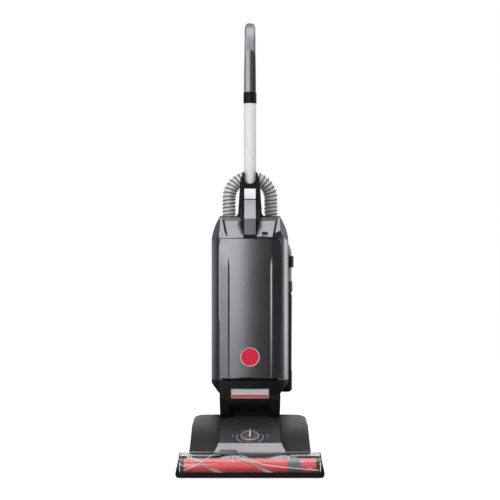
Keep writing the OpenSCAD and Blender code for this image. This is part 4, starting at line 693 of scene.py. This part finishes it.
# The route lies in one plane: up through the clip, across to the middle by 1 - (1 - t)^4 (1 + 4 t), up to the
# arch, over it in a half circle, and down to the elbow
hose_y, wand_x, arch_round = 0.106, 0.0915, 0.0535
cuff_z, clip_rise, cross_rise, neck_rise, last_fall = 0.461, 0.069, 0.134, 0.010, 0.1195
cross_z = cuff_z + clip_rise
neck_z = cross_z + cross_rise
arch_z = neck_z + neck_rise
t = np.linspace(0, 1, 400)
stretches = [(wand_x + 0 * t, cuff_z + clip_rise * t),
             (wand_x - (wand_x - arch_round) * (1 - (1 - t) ** 4 * (1 + 4 * t)), cross_z + cross_rise * t),
             (arch_round + 0 * t, neck_z + neck_rise * t),
             (arch_round * np.cos(np.pi * t), arch_z + arch_round * np.sin(np.pi * t)),
             (-arch_round + 0 * t, arch_z - last_fall * t)]
path = np.concatenate([np.stack(p, -1) for p in stretches])
run = np.concatenate([[0], np.cumsum(np.linalg.norm(np.diff(path, axis=0), axis=1))])
kept = np.concatenate([[True], np.diff(run) > 1e-6])
path, run = path[kept], run[kept]


def on_route(stations):
    """X and Z of the route at lengths along it, and the way it runs there."""
    x, z = (np.interp(stations, run, path[:, k]) for k in (0, 1))
    way = np.stack([np.gradient(x), 0 * x, np.gradient(z)], -1)
    return x, z, way / np.linalg.norm(way, axis=1, keepdims=True)


def hose_wall(stations, radius):
    """Rings square to the route; radius is a function of the length along it and the angle round it."""
    x, z, way = on_route(stations)
    a = 2 * np.pi * np.arange(44) / 44
    r = radius(stations[:, None], a[None, :])
    across = r * np.cos(a)
    return np.stack([x[:, None] + across * way[:, 2:], hose_y + r * np.sin(a), z[:, None] - across * way[:, :1]],
                    -1)


rib_pitch, sleeve, bore = 0.0093, 0.112, 0.0134
sleeve_root, root_drop, sleeve_rib, rib_gain = 0.0154, 0.0016, 0.0004, 0.0022


def ribbed(s, a):
    """Radius of the film: a helical rib r = r0 + d |cos(pi (s / pitch - a / 2 pi))|^1.6, shallow on the sleeve."""
    deep = np.clip((s - sleeve) / 0.004, 0, 1)
    rib = np.abs(np.cos(np.pi * (s / rib_pitch - a / (2 * np.pi)))) ** 1.6
    return sleeve_root - root_drop * deep + (sleeve_rib + rib_gain * deep) * rib


outside = hose_wall(np.linspace(0, run[-1], 661), ribbed)
inside = hose_wall(np.linspace(run[-1], 0, 81), lambda s, a: bore + 0 * s * a)
hose = solid("stretch_hose", np.concatenate([outside, inside]), hose_plastic, ring=True)

# The coated wire lies on the crest of the rib, one turn each pitch, from the end of the sleeve on. Its dark colour
# is painted shade along the crests.
wire_round, wire_along, wire_out, per_turn = 0.0168, 0.0011, 0.0014, 28
first, last = int(sleeve / rib_pitch), int(run[-1] / rib_pitch) - 1
a = 2 * np.pi * np.arange(first * per_turn, last * per_turn + 1) / per_turn
x, z, way = on_route(rib_pitch * (0.5 + a / (2 * np.pi)))
out = np.cos(a)[:, None] * np.stack([way[:, 2], 0 * x, -way[:, 0]], -1) + np.sin(a)[:, None] * np.array([0, 1, 0])
wire_path = np.stack([x, 0 * x + hose_y, z], -1) + wire_round * out
wire = solid("hose_wire", bar(wire_path, way, out, round_profile(wire_along, wire_out, sides=8)), wire_painted_shade)
for piece, finish in ((hose, "hose_plastic"), (wire, "dark_grey_plastic")):
    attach(piece, "body")
    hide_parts("hose")

# ---------- dust bag ----------
# A full paper bag, crowned in front and behind, with a fold drawn into each side and small creases.
# Its card plate is pushed on the spout of the elbow.

bag_y, bag_foot, bag_height = 0.0222, 0.2256, 0.3396
end_wide, end_deep, swell_wide, swell_deep, fold_depth = 0.048, 0.026, 0.0088, 0.0160, 0.010


def bag_face(u, v):
    """Superellipse of exponent 5 round the bag at height v, drawn in towards both ends and at the side folds:
    r(u) = (|cos u|^5 + |sin u|^5)^(-1/5), with creases of up to 1 mm made of slanted sines."""
    r = (np.abs(np.cos(u)) ** 5 + np.abs(np.sin(u)) ** 5) ** -0.2
    end = np.clip(1 - np.abs(2 * v - 1) ** 9, 0, 1) ** 0.5
    fold = fold_depth * np.exp(-(np.sin(u) / 0.22) ** 2) * end
    crease = sum(k * np.sin(a * u + b * v + c) for k, a, b, c in
                 ((0.0004, 5, 31, 0.3), (0.0003, 9, -47, 1.1), (0.00025, 14, 71, 2.0), (0.0002, 23, -96, 0.7)))
    wide = (end_wide + swell_wide * end) * r - fold + crease
    deep = (end_deep + swell_deep * end) * r + crease
    return np.stack([wide * np.cos(u), bag_y + deep * np.sin(u), bag_foot + bag_height * v + 0 * u], -1)


bag_paper, tree, shader = material("bag_paper", Roughness=0.85)
fibre = noise(tree, 700.0, detail=5.0)
feed(tree, shader, Base_Color=blended(tree, spread(tree, fibre, 0.35, 0.65), (0.60, 0.53, 0.41, 1),
                                      (0.70, 0.63, 0.50, 1)))
bumped(tree, shader, fibre, 0.0001)
u, v = np.meshgrid(2 * np.pi * np.arange(120) / 120, np.linspace(0, 1, 90))
bag = solid("paper_bag", bag_face(u, v), bag_paper)
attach(bag, "body")
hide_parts("dust_bag")
card, tree, shader = material("card", Roughness=0.8)
pulp = noise(tree, 400.0, detail=6.0)
feed(tree, shader, Base_Color=blended(tree, pulp, (0.36, 0.25, 0.15, 1), (0.50, 0.37, 0.24, 1)))
bumped(tree, shader, pulp, 0.00006)
dressed(card, "bag_collar")

# ---------- filter ----------
# The pad between the bag chamber and the motor is cut from a sheet of open foam, with slightly crowned faces,
# and pushed into its place in the housing.

foam, tree, shader = material("foam", Roughness=0.95)
cells = joined(tree, "ShaderNodeTexVoronoi", tree.nodes.new("ShaderNodeTexCoord").outputs["Object"]).node
cells.inputs["Scale"].default_value = 650.0
depth = cells.outputs["Distance"]
# Painted shade: the foam is darker in the middle of each cell, where the bump sinks a pore
feed(tree, shader, Base_Color=blended(tree, depth, (0.02, 0.022, 0.026, 1), (0.075, 0.08, 0.09, 1)))
bumped(tree, shader, depth, 0.0006)

# Superellipse r(u) = (|cos u|^10 + |sin u|^10)^(-1/10), drawn in to 3 % at both faces by (1 - |v|^8)^(1/8)
low, high = (np.array(c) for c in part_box("motor_filter"))
u, v = np.meshgrid(2 * np.pi * np.arange(96) / 96, np.linspace(-1, 1, 25))
pinch = (1 - np.abs(v) ** 8) ** 0.125
r = (np.abs(np.cos(u)) ** 10 + np.abs(np.sin(u)) ** 10) ** -0.1 * (0.03 + 0.97 * pinch)
half = (high - low) / 2
pad = np.stack([half[0] * r * np.cos(u), half[1] * r * np.sin(u), half[2] * v], -1) + (high + low) / 2
foam_pad = solid("foam_pad", pad, foam)
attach(foam_pad, "body")
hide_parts("motor_filter")

low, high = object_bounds()
